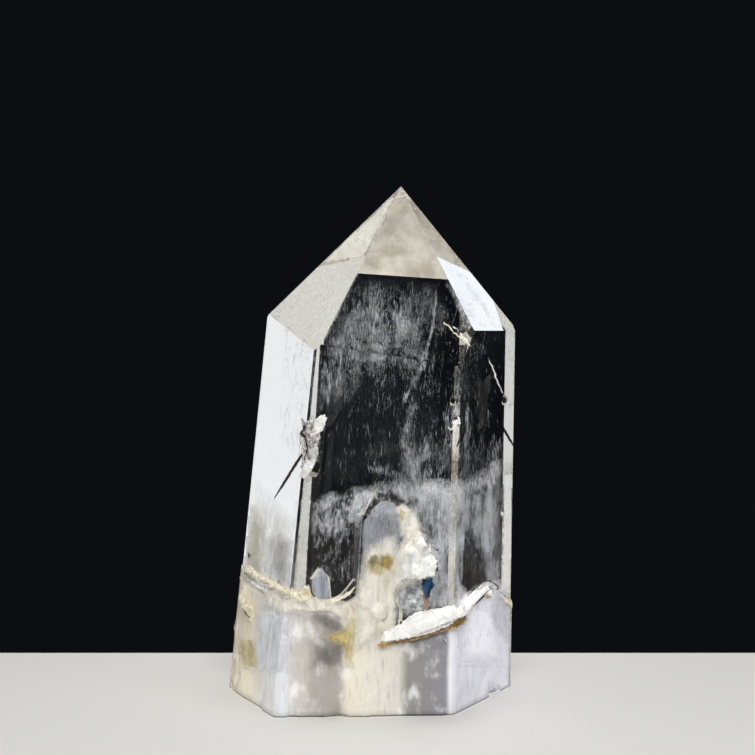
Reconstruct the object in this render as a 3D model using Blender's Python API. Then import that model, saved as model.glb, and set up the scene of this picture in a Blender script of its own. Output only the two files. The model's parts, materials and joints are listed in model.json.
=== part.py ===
"""Quartz point: one clear six-sided rock crystal with a six-faced tip, grown as a single piece.

The crystal stands on the flat cut where it left its matrix and leans a little to +X. Its front
faces -Y. Younger quartz has grown over its foot as a low ledge with small crystals, lumps and a
curved lip, and the edges carry the chips and the bruise of the real one. Units are metres, +Z up,
with the origin under the middle of the outline, on the cut.
"""

import math
import random
from typing import NamedTuple

import bmesh
import bpy
from mathutils import Matrix, Vector

MM = 0.001

# Driving dimensions, in millimetres and degrees.
HEIGHT = 75.0
LEAN = 3.5
SHOULDER_DROP = 25.0
BLOCK = 200.0
FOOT_DEPTH = 3.0
SMALL_SLOPE = 51.8
FRONT_SKIN = -14.4
MERGE = 1e-7


class PrismFace(NamedTuple):
    """One side face: the way it looks, how it widens downwards, and its distance from the axis."""

    azimuth: float
    taper: float
    reach: float


class TipFace(NamedTuple):
    """One face of the tip, which passes through the tip: the way it looks and its slope."""

    azimuth: float
    slope: float


class Station(NamedTuple):
    """One upright of the foot ledge: face, place across it, how far it stands out, and its top."""

    face: str
    across: float
    proud: float
    top: float


class SmallCrystal(NamedTuple):
    """A small crystal: its tip, its six reaches, its foot's height, its turn and its lean."""

    name: str
    tip: tuple
    reaches: tuple
    foot: float
    turn: float
    lean: tuple


class Lump(NamedTuple):
    """An angular block that is joined on or broken away: centre, three radii and seed."""

    name: str
    centre: tuple
    radii: tuple
    seed: int


# Azimuth 0 looks along -Y, and +90 along +X. Reach is measured at the height of the shoulders.
SIDES = {
    "front": PrismFace(1.5, 1.7, 13.85),
    "front_right": PrismFace(57.7, 2.45, 15.6),
    "back_right": PrismFace(121.1, 2.55, 15.75),
    "back": PrismFace(178.5, 2.05, 14.9),
    "back_left": PrismFace(-118.8, 1.2, 16.9),
    "front_left": PrismFace(-62.2, 2.9, 16.2),
}
TIP_FACES = {
    "front": TipFace(4.6, 60.1),
    "front_right": TipFace(58.5, 52.4),
    "back_right": TipFace(120.3, 50.95),
    "back": TipFace(179.0, 50.35),
    "back_left": TipFace(-120.8, 51.1),
    "front_left": TipFace(-53.2, 54.45),
}
AROUND = ("front_left", "front", "front_right", "back_right", "back", "back_left")

# A narrow facet runs down the edge between the front and the front left face.
EDGE_FACET_DEPTH = 0.15

# The ledge of younger quartz round the foot, listed from the left corner anticlockwise from above.
LEDGE = (
    Station("front_left", 0.00, 0.20, 18.7),
    Station("front_left", 0.22, 0.60, 17.9),
    Station("front_left", 0.50, 0.60, 17.5),
    Station("front_left", 0.77, 0.55, 17.6),
    Station("front_left", 0.79, 0.95, 17.4),
    Station("front", 0.045, 0.85, 17.0),
    Station("front", 0.055, 0.50, 16.9),
    Station("front", 0.12, 0.75, 17.3),
    Station("front", 0.20, 0.60, 16.5),
    Station("front", 0.29, 0.80, 16.9),
    Station("front", 0.34, 0.95, 18.2),
    Station("front", 0.38, 1.05, 19.6),
    Station("front", 0.55, 0.80, 17.0),
    Station("front", 0.68, 0.55, 13.6),
    Station("front", 0.82, 0.45, 12.2),
    Station("front", 0.95, 0.50, 13.6),
    Station("front", 0.965, 0.30, 13.7),
    Station("front_right", 0.06, 0.50, 14.4),
    Station("front_right", 0.30, 0.45, 15.8),
    Station("front_right", 0.55, 0.40, 16.9),
    Station("front_right", 0.75, 0.30, 15.6),
    Station("front_right", 0.95, 0.15, 13.8),
    Station("back_right", 0.10, 0.20, 12.6),
    Station("back_right", 0.35, 0.65, 13.0),
    Station("back_right", 0.38, 0.95, 13.8),
    Station("back_right", 0.60, 0.85, 14.4),
    Station("back_right", 0.83, 0.55, 12.4),
    Station("back", 0.08, 0.65, 11.4),
    Station("back", 0.25, 0.95, 10.2),
    Station("back", 0.28, 0.60, 9.6),
    Station("back", 0.55, 0.80, 10.8),
    Station("back", 0.75, 1.00, 11.8),
    Station("back", 0.95, 0.60, 11.4),
    Station("back_left", 0.12, 0.55, 12.2),
    Station("back_left", 0.40, 0.85, 15.4),
    Station("back_left", 0.43, 0.50, 16.0),
    Station("back_left", 0.70, 0.65, 15.2),
    Station("back_left", 0.93, 0.20, 17.4),
)
LEDGE_SET_BACK = 1.2
LEDGE_RISE = 0.45

# The curved white lip on the front of the foot: across, height, half width, how far proud.
LIP = (
    (-3.8, 10.3, 0.25, 0.95),
    (-0.6, 11.4, 0.90, 1.25),
    (2.6, 12.9, 1.50, 1.50),
    (5.4, 13.9, 1.40, 1.55),
    (7.6, 14.6, 0.95, 1.35),
    (9.4, 15.5, 0.65, 1.20),
    (11.0, 16.4, 0.60, 1.15),
    (12.4, 16.9, 0.55, 1.00),
    (13.6, 16.1, 0.30, 0.70),
)
LIP_STEPS = 4
LIP_ROOT = 0.9
# Cross section of the lip: how far up it in half widths, and how far out in parts of its height.
LIP_SECTION = ((1.0, 0.45), (0.35, 1.0), (-0.5, 0.9))


SMALL_CRYSTALS = (
    SmallCrystal(
        "front_crystal_left", (-2.9, FRONT_SKIN + 1.9, 33.6), (4.0, 3.9, 2.25, 4.0, 4.0, 4.0),
        -FOOT_DEPTH, 0.0, (0.0, LEAN),
    ),
    SmallCrystal(
        "front_crystal_right", (-0.7, FRONT_SKIN + 1.5, 32.6), (3.0, 2.9, 2.6, 3.0, 3.0, 3.0),
        -FOOT_DEPTH, 0.0, (0.0, LEAN),
    ),
    SmallCrystal(
        "pointed_crystal", (-11.8, -15.5, 21.4), (1.2, 0.9, 1.3, 1.2, 1.2, 1.2),
        10.0, 12.0, (4.0, -5.0),
    ),
    SmallCrystal(
        "back_crystal", (-3.5, 16.6, 12.8), (2.6, 2.6, 2.6, 2.4, 2.2, 2.4),
        -FOOT_DEPTH, 8.0, (-5.0, 2.0),
    ),
    SmallCrystal(
        "side_crystal", (12.6, 9.4, 15.5), (2.0, 2.0, 2.2, 2.0, 2.0, 2.0),
        -FOOT_DEPTH, -14.0, (-4.0, 8.0),
    ),
)

# The frosty broken mass beside the front crystals, and lumps on the corners of the foot.
LUMPS = (
    Lump("frosty_base", (2.0, -14.3, 22.6), (3.4, 1.0, 3.1), 37),
    Lump("frosty_lump_a", (0.8, -14.6, 23.0), (2.1, 1.3, 2.1), 3),
    Lump("frosty_lump_b", (2.7, -14.5, 24.5), (1.4, 1.3, 1.7), 5),
    Lump("frosty_lump_c", (3.5, -14.5, 21.8), (1.8, 1.2, 1.5), 8),
    Lump("frosty_lump_d", (0.6, -14.9, 20.5), (1.8, 1.2, 1.6), 19),
    Lump("frosty_lump_e", (4.8, -14.3, 23.2), (1.1, 1.0, 1.3), 23),
    Lump("frosty_lump_f", (-0.1, -14.8, 25.8), (1.4, 1.2, 1.8), 29),
    Lump("crystal_foot_lump", (-5.0, -16.1, 16.8), (1.8, 1.0, 1.6), 13),
    Lump("crystal_foot_chip", (-3.2, -16.2, 15.2), (1.5, 0.9, 1.4), 31),
    Lump("corner_lump_low", (-24.0, 0.3, 9.0), (1.2, 1.8, 2.2), 21),
    Lump("corner_lump_high", (-23.2, -1.6, 14.4), (1.0, 1.6, 1.9), 34),
    Lump("back_lump", (6.8, 16.6, 6.0), (2.4, 1.4, 2.8), 55),
)

# What is broken away: the bruise on the front left edge, and chips on the faces and the rim.
CHIPS = (
    Lump("bruise_top", (-12.6, -14.75, 41.0), (2.2, 0.95, 1.9), 2),
    Lump("bruise_middle", (-13.7, -14.35, 38.2), (1.5, 1.1, 2.6), 4),
    Lump("bruise_low", (-12.6, -14.9, 35.9), (1.3, 1.0, 2.4), 6),
    Lump("bruise_side", (-14.9, -13.4, 40.0), (1.0, 0.9, 1.6), 18),
    Lump("shoulder_chip", (10.5, -10.9, 54.2), (0.45, 0.55, 0.5), 9),
    Lump("rim_chip_left", (-25.2, -2.6, 3.0), (1.9, 1.8, 3.0), 14),
    Lump("rim_chip_front", (-9.5, -17.2, 0.2), (2.6, 1.5, 1.5), 15),
    Lump("rim_chip_right", (14.2, -4.6, 0.0), (1.6, 1.8, 1.5), 16),
    Lump("rim_chip_back", (0.5, 19.0, 0.0), (2.8, 1.7, 1.8), 17),
)
HOOK_SHIFT = (-0.5, -0.15, 0.3)
PIT_CENTRE = (1.5, -15.9, 17.3)
PIT_RADII = (2.7, 2.2, 2.5)
PIT_TURN = 24.0


def leaning(vector):
    """Turn a vector of the upright crystal into the leaning one."""
    return Matrix.Rotation(math.radians(LEAN), 3, "Y") @ Vector(vector)


def heading(azimuth):
    """Level direction that a face with this azimuth looks in."""
    angle = math.radians(azimuth)
    return Vector((math.sin(angle), -math.cos(angle), 0.0))


def side_plane(name, proud=0.0):
    """Point and normal of a side face, moved outwards by proud."""
    face = SIDES[name]
    tilt = math.radians(face.taper)
    normal = leaning(heading(face.azimuth) * math.cos(tilt) + Vector((0, 0, math.sin(tilt))))
    on_face = heading(face.azimuth) * face.reach - Vector((0, 0, SHOULDER_DROP))
    point = Vector((0, 0, HEIGHT)) + leaning(on_face) + normal * proud
    return point, normal


def tip_plane(name):
    """Point and normal of a face of the tip."""
    face = TIP_FACES[name]
    slope = math.radians(face.slope)
    normal = leaning(heading(face.azimuth) * math.sin(slope) + Vector((0, 0, math.cos(slope))))
    return Vector((0, 0, HEIGHT)), normal


def meet(first, second, height):
    """Place where two planes meet at a height."""
    (point_a, normal_a), (point_b, normal_b) = first, second
    rows = Matrix((normal_a, normal_b, (0, 0, 1)))
    return rows.inverted() @ Vector((normal_a.dot(point_a), normal_b.dot(point_b), height))


def side_corner(name, following, height, proud=(0.0, 0.0)):
    """Corner between a side face and the one after it, at a height."""
    return meet(side_plane(name, proud[0]), side_plane(following, proud[1]), height)


def before(name):
    """Side face before this one, going round."""
    return AROUND[AROUND.index(name) - 1]


def after(name):
    """Side face after this one, going round."""
    return AROUND[(AROUND.index(name) + 1) % len(AROUND)]


def across_face(name, across, height, proud):
    """Place on a side face: across runs from 0 at one corner to 1 at the next."""
    start = side_corner(before(name), name, height)
    end = side_corner(name, after(name), height)
    normal = side_plane(name)[1]
    level = Vector((normal.x, normal.y, 0.0)).normalized()
    return start.lerp(end, across) + level * proud


def front_skin(x, z):
    """Place and normal of the front surface at x and height z."""
    best = None
    for name in AROUND[:3]:
        point, normal = side_plane(name)
        y = point.y - (normal.x * (x - point.x) + normal.z * (z - point.z)) / normal.y
        if best is None or y > best[0].y:
            best = (Vector((x, y, z)), normal)
    return best


def block_cut_by(name, planes, centre=Vector((0, 0, 0)), size=BLOCK):
    """Solid left of a cube after cutting away all that lies outside the planes."""
    form = bmesh.new()
    bmesh.ops.create_cube(form, size=size * MM, matrix=Matrix.Translation(centre * MM))
    for point, normal in planes:
        found = bmesh.ops.bisect_plane(
            form,
            geom=form.verts[:] + form.edges[:] + form.faces[:],
            dist=MERGE,
            plane_co=point * MM,
            plane_no=normal,
            clear_outer=True,
        )
        rim = [item for item in found["geom_cut"] if isinstance(item, bmesh.types.BMEdge)]
        open_rim = [edge for edge in rim if edge.is_boundary]
        if open_rim:
            bmesh.ops.contextual_create(form, geom=open_rim)
    return object_of(name, form)


def object_of(name, form):
    """Blender object that holds a finished bmesh."""
    bmesh.ops.recalc_face_normals(form, faces=form.faces[:])
    mesh = bpy.data.meshes.new(name)
    form.to_mesh(mesh)
    form.free()
    thing = bpy.data.objects.new(name, mesh)
    bpy.context.scene.collection.objects.link(thing)
    return thing


def main_crystal(name):
    """The large crystal, from its side faces, tip faces and edge facet, left long at the foot."""
    planes = [side_plane(side) for side in AROUND]
    planes += [tip_plane(side) for side in AROUND]
    point, normal = side_plane("front")
    other_normal = side_plane("front_left")[1]
    edge = side_corner("front_left", "front", HEIGHT / 2)
    outwards = (normal + other_normal).normalized()
    planes.append((edge - outwards * EDGE_FACET_DEPTH, outwards))
    planes.append((Vector((0, 0, -FOOT_DEPTH)), Vector((0, 0, -1))))
    return block_cut_by(name, planes)


def small_crystal(name, tip, reaches, foot, turn, lean):
    """A small six-sided crystal below its tip.

    The six reaches are its side faces' distances from its axis, in the order of AROUND. It is
    turned about its axis and leans by two angles, about X and about Y.
    """
    about_x, about_y = (math.radians(angle) for angle in lean)
    tilt = Matrix.Rotation(about_y, 3, "Y") @ Matrix.Rotation(about_x, 3, "X")
    tip = Vector(tip)
    slope = math.radians(SMALL_SLOPE)
    planes = [(Vector((tip.x, tip.y, foot)), Vector((0, 0, -1)))]
    for index, reach in enumerate(reaches):
        level = heading(60.0 * (index - 1) + turn)
        side = tilt @ level
        roof = tilt @ (level * math.sin(slope) + Vector((0, 0, math.cos(slope))))
        planes.append((tip + side * reach, side))
        planes.append((tip, roof))
    return block_cut_by(name, planes, centre=tip)


def broken_lump(name, centre, radii, seed, sides=16):
    """An angular lump: a block cut by planes that face all ways, stretched to three radii."""
    draw = random.Random(seed)
    planes = []
    for index in range(sides):
        up = 1.0 - 2.0 * (index + 0.5) / sides
        level = math.sqrt(1.0 - up * up)
        turn = index * math.pi * (3.0 - math.sqrt(5.0)) + draw.uniform(-0.5, 0.5)
        normal = Vector((level * math.cos(turn), level * math.sin(turn), up)).normalized()
        planes.append((normal * draw.uniform(0.72, 1.0), normal))
    lump = block_cut_by(name, planes, size=4.0)
    stretch = Matrix.Diagonal(Vector(radii).to_4d())
    lump.data.transform(Matrix.Translation(Vector(centre) * MM) @ stretch)
    return lump


def hollow_cutter(name, centre, radii, turn):
    """A smooth flattened ball that leaves a shell-shaped pit."""
    form = bmesh.new()
    bmesh.ops.create_icosphere(form, subdivisions=3, radius=MM)
    place = Matrix.Translation(Vector(centre) * MM) @ Matrix.Rotation(math.radians(turn), 4, "Y")
    stretch = Matrix.Diagonal(Vector(radii).to_4d())
    bmesh.ops.transform(form, matrix=place @ stretch, verts=form.verts)
    return object_of(name, form)


def ledge_corner(first, second, height):
    """Corner of the ledge where two stations stand on different faces."""
    return side_corner(first.face, second.face, height, (first.proud, second.proud))


def ledge_uprights():
    """Each upright of the ledge as its foot, the edge of its top and the top's inner end."""
    uprights = []
    for index, station in enumerate(LEDGE):
        following = LEDGE[(index + 1) % len(LEDGE)]
        place = (station.face, station.across)
        uprights.append(
            (
                across_face(*place, -FOOT_DEPTH, station.proud),
                across_face(*place, station.top, station.proud),
                across_face(*place, station.top + LEDGE_RISE, -LEDGE_SET_BACK),
            )
        )
        if following.face != station.face:
            top = (station.top + following.top) / 2
            inner = side_corner(
                station.face, following.face, top + LEDGE_RISE, (-LEDGE_SET_BACK, -LEDGE_SET_BACK)
            )
            uprights.append(
                (
                    ledge_corner(station, following, -FOOT_DEPTH),
                    ledge_corner(station, following, top),
                    inner,
                )
            )
    return uprights


def foot_ledge(name):
    """The ring of younger quartz round the foot, closed at top and bottom by a point on the axis."""
    form = bmesh.new()
    rings = [[form.verts.new(place * MM) for place in upright] for upright in ledge_uprights()]
    middle = sum((upright[0] for upright in ledge_uprights()), Vector()) / len(rings)
    low = form.verts.new(middle * MM)
    high = form.verts.new((middle + Vector((0, 0, FOOT_DEPTH + 6.0))) * MM)
    for index, ring in enumerate(rings):
        following = rings[(index + 1) % len(rings)]
        for step in range(2):
            form.faces.new((ring[step], following[step], following[step + 1], ring[step + 1]))
        form.faces.new((ring[2], following[2], high))
        form.faces.new((following[0], ring[0], low))
    bmesh.ops.triangulate(form, faces=form.faces[:])
    return object_of(name, form)


def along(values, position):
    """Value at a fractional position in a list, on a smooth curve through its entries."""
    index = min(int(position), len(values) - 2)
    t = position - index
    p0, p1 = values[max(index - 1, 0)], values[index]
    p2, p3 = values[index + 1], values[min(index + 2, len(values) - 1)]
    bend = 2 * p0 - 5 * p1 + 4 * p2 - p3
    return 0.5 * (2 * p1 + (p2 - p0) * t + bend * t * t + (3 * p1 - p0 - 3 * p2 + p3) * t**3)


def curved_lip(name):
    """The curved lip: a low ridge that follows the front surface of the foot."""
    form = bmesh.new()
    columns = list(zip(*LIP))
    last = (len(LIP) - 1) * LIP_STEPS
    rings = []
    for step in range(last + 1):
        x, z, half, proud = (along(column, step / LIP_STEPS) for column in columns)
        ahead = min(step + 1, last) / LIP_STEPS
        behind = max(step - 1, 0) / LIP_STEPS
        run = Vector((along(columns[0], ahead), 0, along(columns[1], ahead)))
        run -= Vector((along(columns[0], behind), 0, along(columns[1], behind)))
        up = Vector((-run.z, 0, run.x)).normalized()
        skin, normal = front_skin(x, z)
        section = [(side, out * proud) for side, out in LIP_SECTION]
        section = [(1.0, -LIP_ROOT), *section, (-1.0, -LIP_ROOT)]
        places = [skin + up * half * side + normal * out for side, out in section]
        rings.append([form.verts.new(place * MM) for place in places])
    for first, second in zip(rings, rings[1:]):
        for index in range(len(first)):
            following = (index + 1) % len(first)
            form.faces.new((first[index], first[following], second[following], second[index]))
    form.faces.new(rings[0])
    form.faces.new(rings[-1])
    bmesh.ops.triangulate(form, faces=form.faces[:])
    return object_of(name, form)


def quartz_material():
    """Clear quartz: see-through, smooth and nearly colourless."""
    material = bpy.data.materials.new("clear_quartz")
    material.use_nodes = True
    shader = material.node_tree.nodes["Principled BSDF"]
    shader.inputs["Base Color"].default_value = (0.95, 0.95, 0.93, 1.0)
    shader.inputs["Roughness"].default_value = 0.03
    shader.inputs["Metallic"].default_value = 0.0
    shader.inputs["IOR"].default_value = 1.544
    shader.inputs["Transmission Weight"].default_value = 1.0
    return material


def combine(body, tool, operation):
    """Join a tool to the body or cut it away, and keep the tool as a hidden guide."""
    tool.hide_render = True
    tool.display_type = "WIRE"
    change = body.modifiers.new(tool.name, "BOOLEAN")
    change.operation = operation
    change.solver = "EXACT"
    change.object = tool


def grown_on():
    """Everything that grew on the large crystal: ledge, small crystals, lip and lumps."""
    things = [foot_ledge("foot_ledge")]
    things += [small_crystal(*crystal) for crystal in SMALL_CRYSTALS]
    things.append(curved_lip("curved_lip"))
    things += [broken_lump(*lump) for lump in LUMPS]
    return things


def edge_chips():
    """Chips that sit on an edge of the large crystal, found from its planes."""
    hook = side_corner("front", "front_right", 41.6) + Vector(HOOK_SHIFT)
    return (
        Lump("hook_chip", hook, (0.85, 0.45, 0.8), 7),
        Lump("back_chip_high", side_corner("back_right", "back", 42.5), (0.6, 0.6, 0.8), 10),
        Lump("back_chip_low", side_corner("back_right", "back", 25.0), (0.6, 0.7, 0.7), 11),
        Lump("far_chip", side_corner("back", "back_left", 13.0), (0.9, 0.9, 1.6), 12),
    )


def broken_off():
    """Everything that is missing: the bruise, the shell-shaped pit, chips and the flat cut."""
    things = [broken_lump(*chip) for chip in CHIPS + edge_chips()]
    things.append(hollow_cutter("shell_pit", PIT_CENTRE, PIT_RADII, PIT_TURN))
    floor = [(Vector((0, 0, 0)), Vector((0, 0, 1)))]
    below = Vector((0, 0, -BLOCK / 4))
    things.append(block_cut_by("flat_cut", floor, centre=below, size=BLOCK / 1.9))
    return things


def centre_on_outline(body):
    """Move the finished solid so that the middle of its outline is over the origin."""
    bpy.context.view_layer.update()
    shape = body.evaluated_get(bpy.context.evaluated_depsgraph_get())
    corners = [Vector(corner) for corner in shape.bound_box]
    middle = sum(corners, Vector()) / len(corners)
    shift = Matrix.Translation(Vector((-middle.x, -middle.y, 0)))
    for thing in bpy.context.scene.objects:
        thing.data.transform(shift)


def build():
    """Build the whole quartz point."""
    for thing in list(bpy.data.objects):
        bpy.data.objects.remove(thing)
    body = main_crystal("quartz_point")
    for tool in grown_on():
        combine(body, tool, "UNION")
    for tool in broken_off():
        combine(body, tool, "DIFFERENCE")
    body.data.materials.append(quartz_material())
    centre_on_outline(body)


build()
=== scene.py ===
"""Looks of the quartz point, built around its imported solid.

The solid gives the true shape. Here its faces get crisp worn edges and clear rock crystal, and what
grew in it and on it is added: the milky root, veils of fine bubbles, healed and open cracks, the
frosty mass, the curved lip, ochre crust and the coloured film in the small pit.
"""

import json
import logging
import math
import random
from dataclasses import dataclass, field
from enum import Enum
from typing import Callable, Iterable, Sequence

import bmesh
import bpy
from mathutils import Matrix, Vector, noise
from mathutils.bvhtree import BVHTree

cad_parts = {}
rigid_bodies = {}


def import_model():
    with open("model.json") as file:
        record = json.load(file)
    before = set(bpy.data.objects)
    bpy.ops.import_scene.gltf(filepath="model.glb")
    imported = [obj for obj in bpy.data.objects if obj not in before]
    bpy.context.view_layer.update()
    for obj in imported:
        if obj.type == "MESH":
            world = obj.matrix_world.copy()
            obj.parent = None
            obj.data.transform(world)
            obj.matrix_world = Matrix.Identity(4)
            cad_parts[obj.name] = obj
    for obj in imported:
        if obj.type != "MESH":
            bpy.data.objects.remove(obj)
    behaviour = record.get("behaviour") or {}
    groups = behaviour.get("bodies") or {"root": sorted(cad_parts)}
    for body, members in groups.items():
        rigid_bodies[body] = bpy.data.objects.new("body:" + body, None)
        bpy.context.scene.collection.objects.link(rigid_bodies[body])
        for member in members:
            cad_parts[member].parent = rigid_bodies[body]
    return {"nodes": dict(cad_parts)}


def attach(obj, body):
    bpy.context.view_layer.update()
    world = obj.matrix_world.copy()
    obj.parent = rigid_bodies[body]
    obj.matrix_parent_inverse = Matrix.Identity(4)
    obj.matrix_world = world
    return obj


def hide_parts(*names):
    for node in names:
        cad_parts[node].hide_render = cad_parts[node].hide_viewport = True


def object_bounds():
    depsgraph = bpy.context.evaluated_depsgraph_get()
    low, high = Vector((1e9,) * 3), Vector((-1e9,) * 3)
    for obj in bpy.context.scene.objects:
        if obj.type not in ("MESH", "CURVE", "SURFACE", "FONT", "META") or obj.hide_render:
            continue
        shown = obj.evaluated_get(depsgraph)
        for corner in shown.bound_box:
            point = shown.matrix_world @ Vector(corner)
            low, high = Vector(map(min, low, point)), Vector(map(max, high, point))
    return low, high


for left_over in list(bpy.data.objects):
    bpy.data.objects.remove(left_over)

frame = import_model()
CAD_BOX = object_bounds()

LOG = logging.getLogger("quartz_point")
MM = 0.001
NODE = "quartz_point"
BODY = "root"
IMAGE_SIDE = 755
SENSOR = 36.0
COVER = "cover"

Place = tuple[float, float, float]
Pixel = tuple[float, float]


class Slot(Enum):
    """The record's material slots."""

    CLEAR = "clear_quartz"
    MILKY = "milky_quartz"
    # Iron stain, and also the painted shadow beside the ochre spot.
    STAIN = "iron_stain"


def linear(code: str, alpha: float = 1.0) -> tuple[float, float, float, float]:
    """Turn an sRGB hex colour into the linear values that a shader takes.

    Args:
        code: The colour as "#RRGGBB".
        alpha: The fourth value.

    Returns:
        Red, green, blue and alpha, linear.
    """
    parts = [int(code[i : i + 2], 16) / 255 for i in (1, 3, 5)]
    red, green, blue = (v / 12.92 if v <= 0.04045 else ((v + 0.055) / 1.055) ** 2.4 for v in parts)
    return red, green, blue, alpha


def add_node(tree: bpy.types.NodeTree, kind: str, values: dict | None = None, links: dict | None = None, **settings) -> bpy.types.Node:
    """Add one node with its settings, input values and incoming links.

    Args:
        tree: The node tree that gets the node.
        kind: Blender's name for the node type.
        values: Default values by input name or number.
        links: Output sockets by the input name or number that they feed.
        settings: Properties of the node itself.

    Returns:
        The new node.
    """
    node = tree.nodes.new(kind)
    for name, value in settings.items():
        setattr(node, name, value)
    for key, value in (values or {}).items():
        node.inputs[key].default_value = value
    for key, source in (links or {}).items():
        tree.links.new(source, node.inputs[key])
    return node


def empty_material(name: str) -> tuple[bpy.types.Material, bpy.types.NodeTree]:
    """Start a node material that holds nothing yet.

    Args:
        name: The material's name.

    Returns:
        The material and its node tree.
    """
    material = bpy.data.materials.new(name)
    material.use_nodes = True
    tree = material.node_tree
    tree.nodes.clear()
    return material, tree


@dataclass(frozen=True)
class RockCrystal:
    """Rock crystal with natural growth faces: clear quartz, glossy, almost without colour.

    The eye sees straight through it, with bright and dark windows where light bends at the faces,
    and faint growth lines across the side faces.
    """

    name: str = "rock_crystal_growth_faces"
    tint: str = "#FFFFFF"
    absorption: str = "#F1EEE4"
    density: float = 6.0
    ior: float = 1.544
    roughness: float = 0.0
    line_spacing_mm: float = 0.55
    line_depth_mm: float = 0.00012

    def material(self) -> bpy.types.Material:
        """Build the material and return it."""
        material, tree = empty_material(self.name)
        place = add_node(tree, "ShaderNodeTexCoord").outputs["Object"]
        stretched = add_node(tree, "ShaderNodeMapping", {"Scale": (60.0, 60.0, 1000.0 / self.line_spacing_mm)}, {"Vector": place})
        lines = add_node(tree, "ShaderNodeTexNoise", {"Scale": 1.0, "Detail": 2.0}, {"Vector": stretched.outputs[0]})
        bump = add_node(
            tree, "ShaderNodeBump", {"Strength": 1.0, "Distance": self.line_depth_mm * MM}, {"Height": lines.outputs["Fac"]}
        )
        shader = add_node(
            tree,
            "ShaderNodeBsdfPrincipled",
            {
                "Base Color": linear(self.tint),
                "Roughness": self.roughness,
                "IOR": self.ior,
                "Transmission Weight": 1.0,
            },
            {"Normal": bump.outputs[0]},
        )
        inside = add_node(tree, "ShaderNodeVolumeAbsorption", {"Color": linear(self.absorption), "Density": self.density})
        add_node(tree, "ShaderNodeOutputMaterial", None, {"Surface": shader.outputs[0], "Volume": inside.outputs[0]})
        return material


@dataclass(frozen=True)
class PaleBoard:
    """Matt painted board, sprayed: the pale floor. An even soft white with a very fine tooth."""

    name: str = "matt_painted_board"
    colour: str = "#E9E8E4"
    tooth_mm: float = 0.8

    def material(self) -> bpy.types.Material:
        """Build the material and return it."""
        material, tree = empty_material(self.name)
        place = add_node(tree, "ShaderNodeTexCoord").outputs["Object"]
        tooth = add_node(tree, "ShaderNodeTexNoise", {"Scale": 1000.0 / self.tooth_mm, "Detail": 3.0}, {"Vector": place})
        bump = add_node(tree, "ShaderNodeBump", {"Strength": 0.15, "Distance": 0.05 * MM}, {"Height": tooth.outputs["Fac"]})
        shader = add_node(
            tree,
            "ShaderNodeBsdfPrincipled",
            {"Base Color": linear(self.colour), "Roughness": 0.7},
            {"Normal": bump.outputs[0]},
        )
        add_node(tree, "ShaderNodeOutputMaterial", None, {"Surface": shader.outputs[0]})
        return material


def noise_node(
    tree: bpy.types.NodeTree, place: bpy.types.NodeSocket, size_mm: float, tall: float = 1.0, detail: float = 4.0
) -> bpy.types.NodeSocket:
    """Add noise with features of a real size, drawn out upright.

    Args:
        tree: The node tree.
        place: The coordinates in metres.
        size_mm: Size of its features across.
        tall: How many times taller than wide they are.
        detail: Levels of finer noise.

    Returns:
        The noise from 0 to 1.
    """
    stretched = add_node(tree, "ShaderNodeMapping", {"Scale": (1.0, 1.0, 1.0 / tall)}, {"Vector": place})
    values = {"Scale": 1000.0 / size_mm, "Detail": detail, "Roughness": 0.6}
    return add_node(tree, "ShaderNodeTexNoise", values, {"Vector": stretched.outputs[0]}).outputs["Fac"]


def ramp_between(tree: bpy.types.NodeTree, value: bpy.types.NodeSocket, low: float, high: float, top: float = 1.0) -> bpy.types.NodeSocket:
    """Add a smooth rise from 0 at one value to the given top at another."""
    values = {"From Min": low, "From Max": high, "To Max": top}
    return add_node(tree, "ShaderNodeMapRange", values, {"Value": value}, interpolation_type="SMOOTHSTEP").outputs[0]


def mixed(
    tree: bpy.types.NodeTree, share: bpy.types.NodeSocket, first: bpy.types.NodeSocket | str, second: bpy.types.NodeSocket | str
) -> bpy.types.NodeSocket:
    """Add a mix of two colours, each a socket or a hex code."""
    mix = add_node(tree, "ShaderNodeMix", None, {"Factor": share}, data_type="RGBA")
    for index, colour in ((6, first), (7, second)):
        if isinstance(colour, str):
            mix.inputs[index].default_value = linear(colour)
        else:
            tree.links.new(colour, mix.inputs[index])
    return mix.outputs[2]


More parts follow.
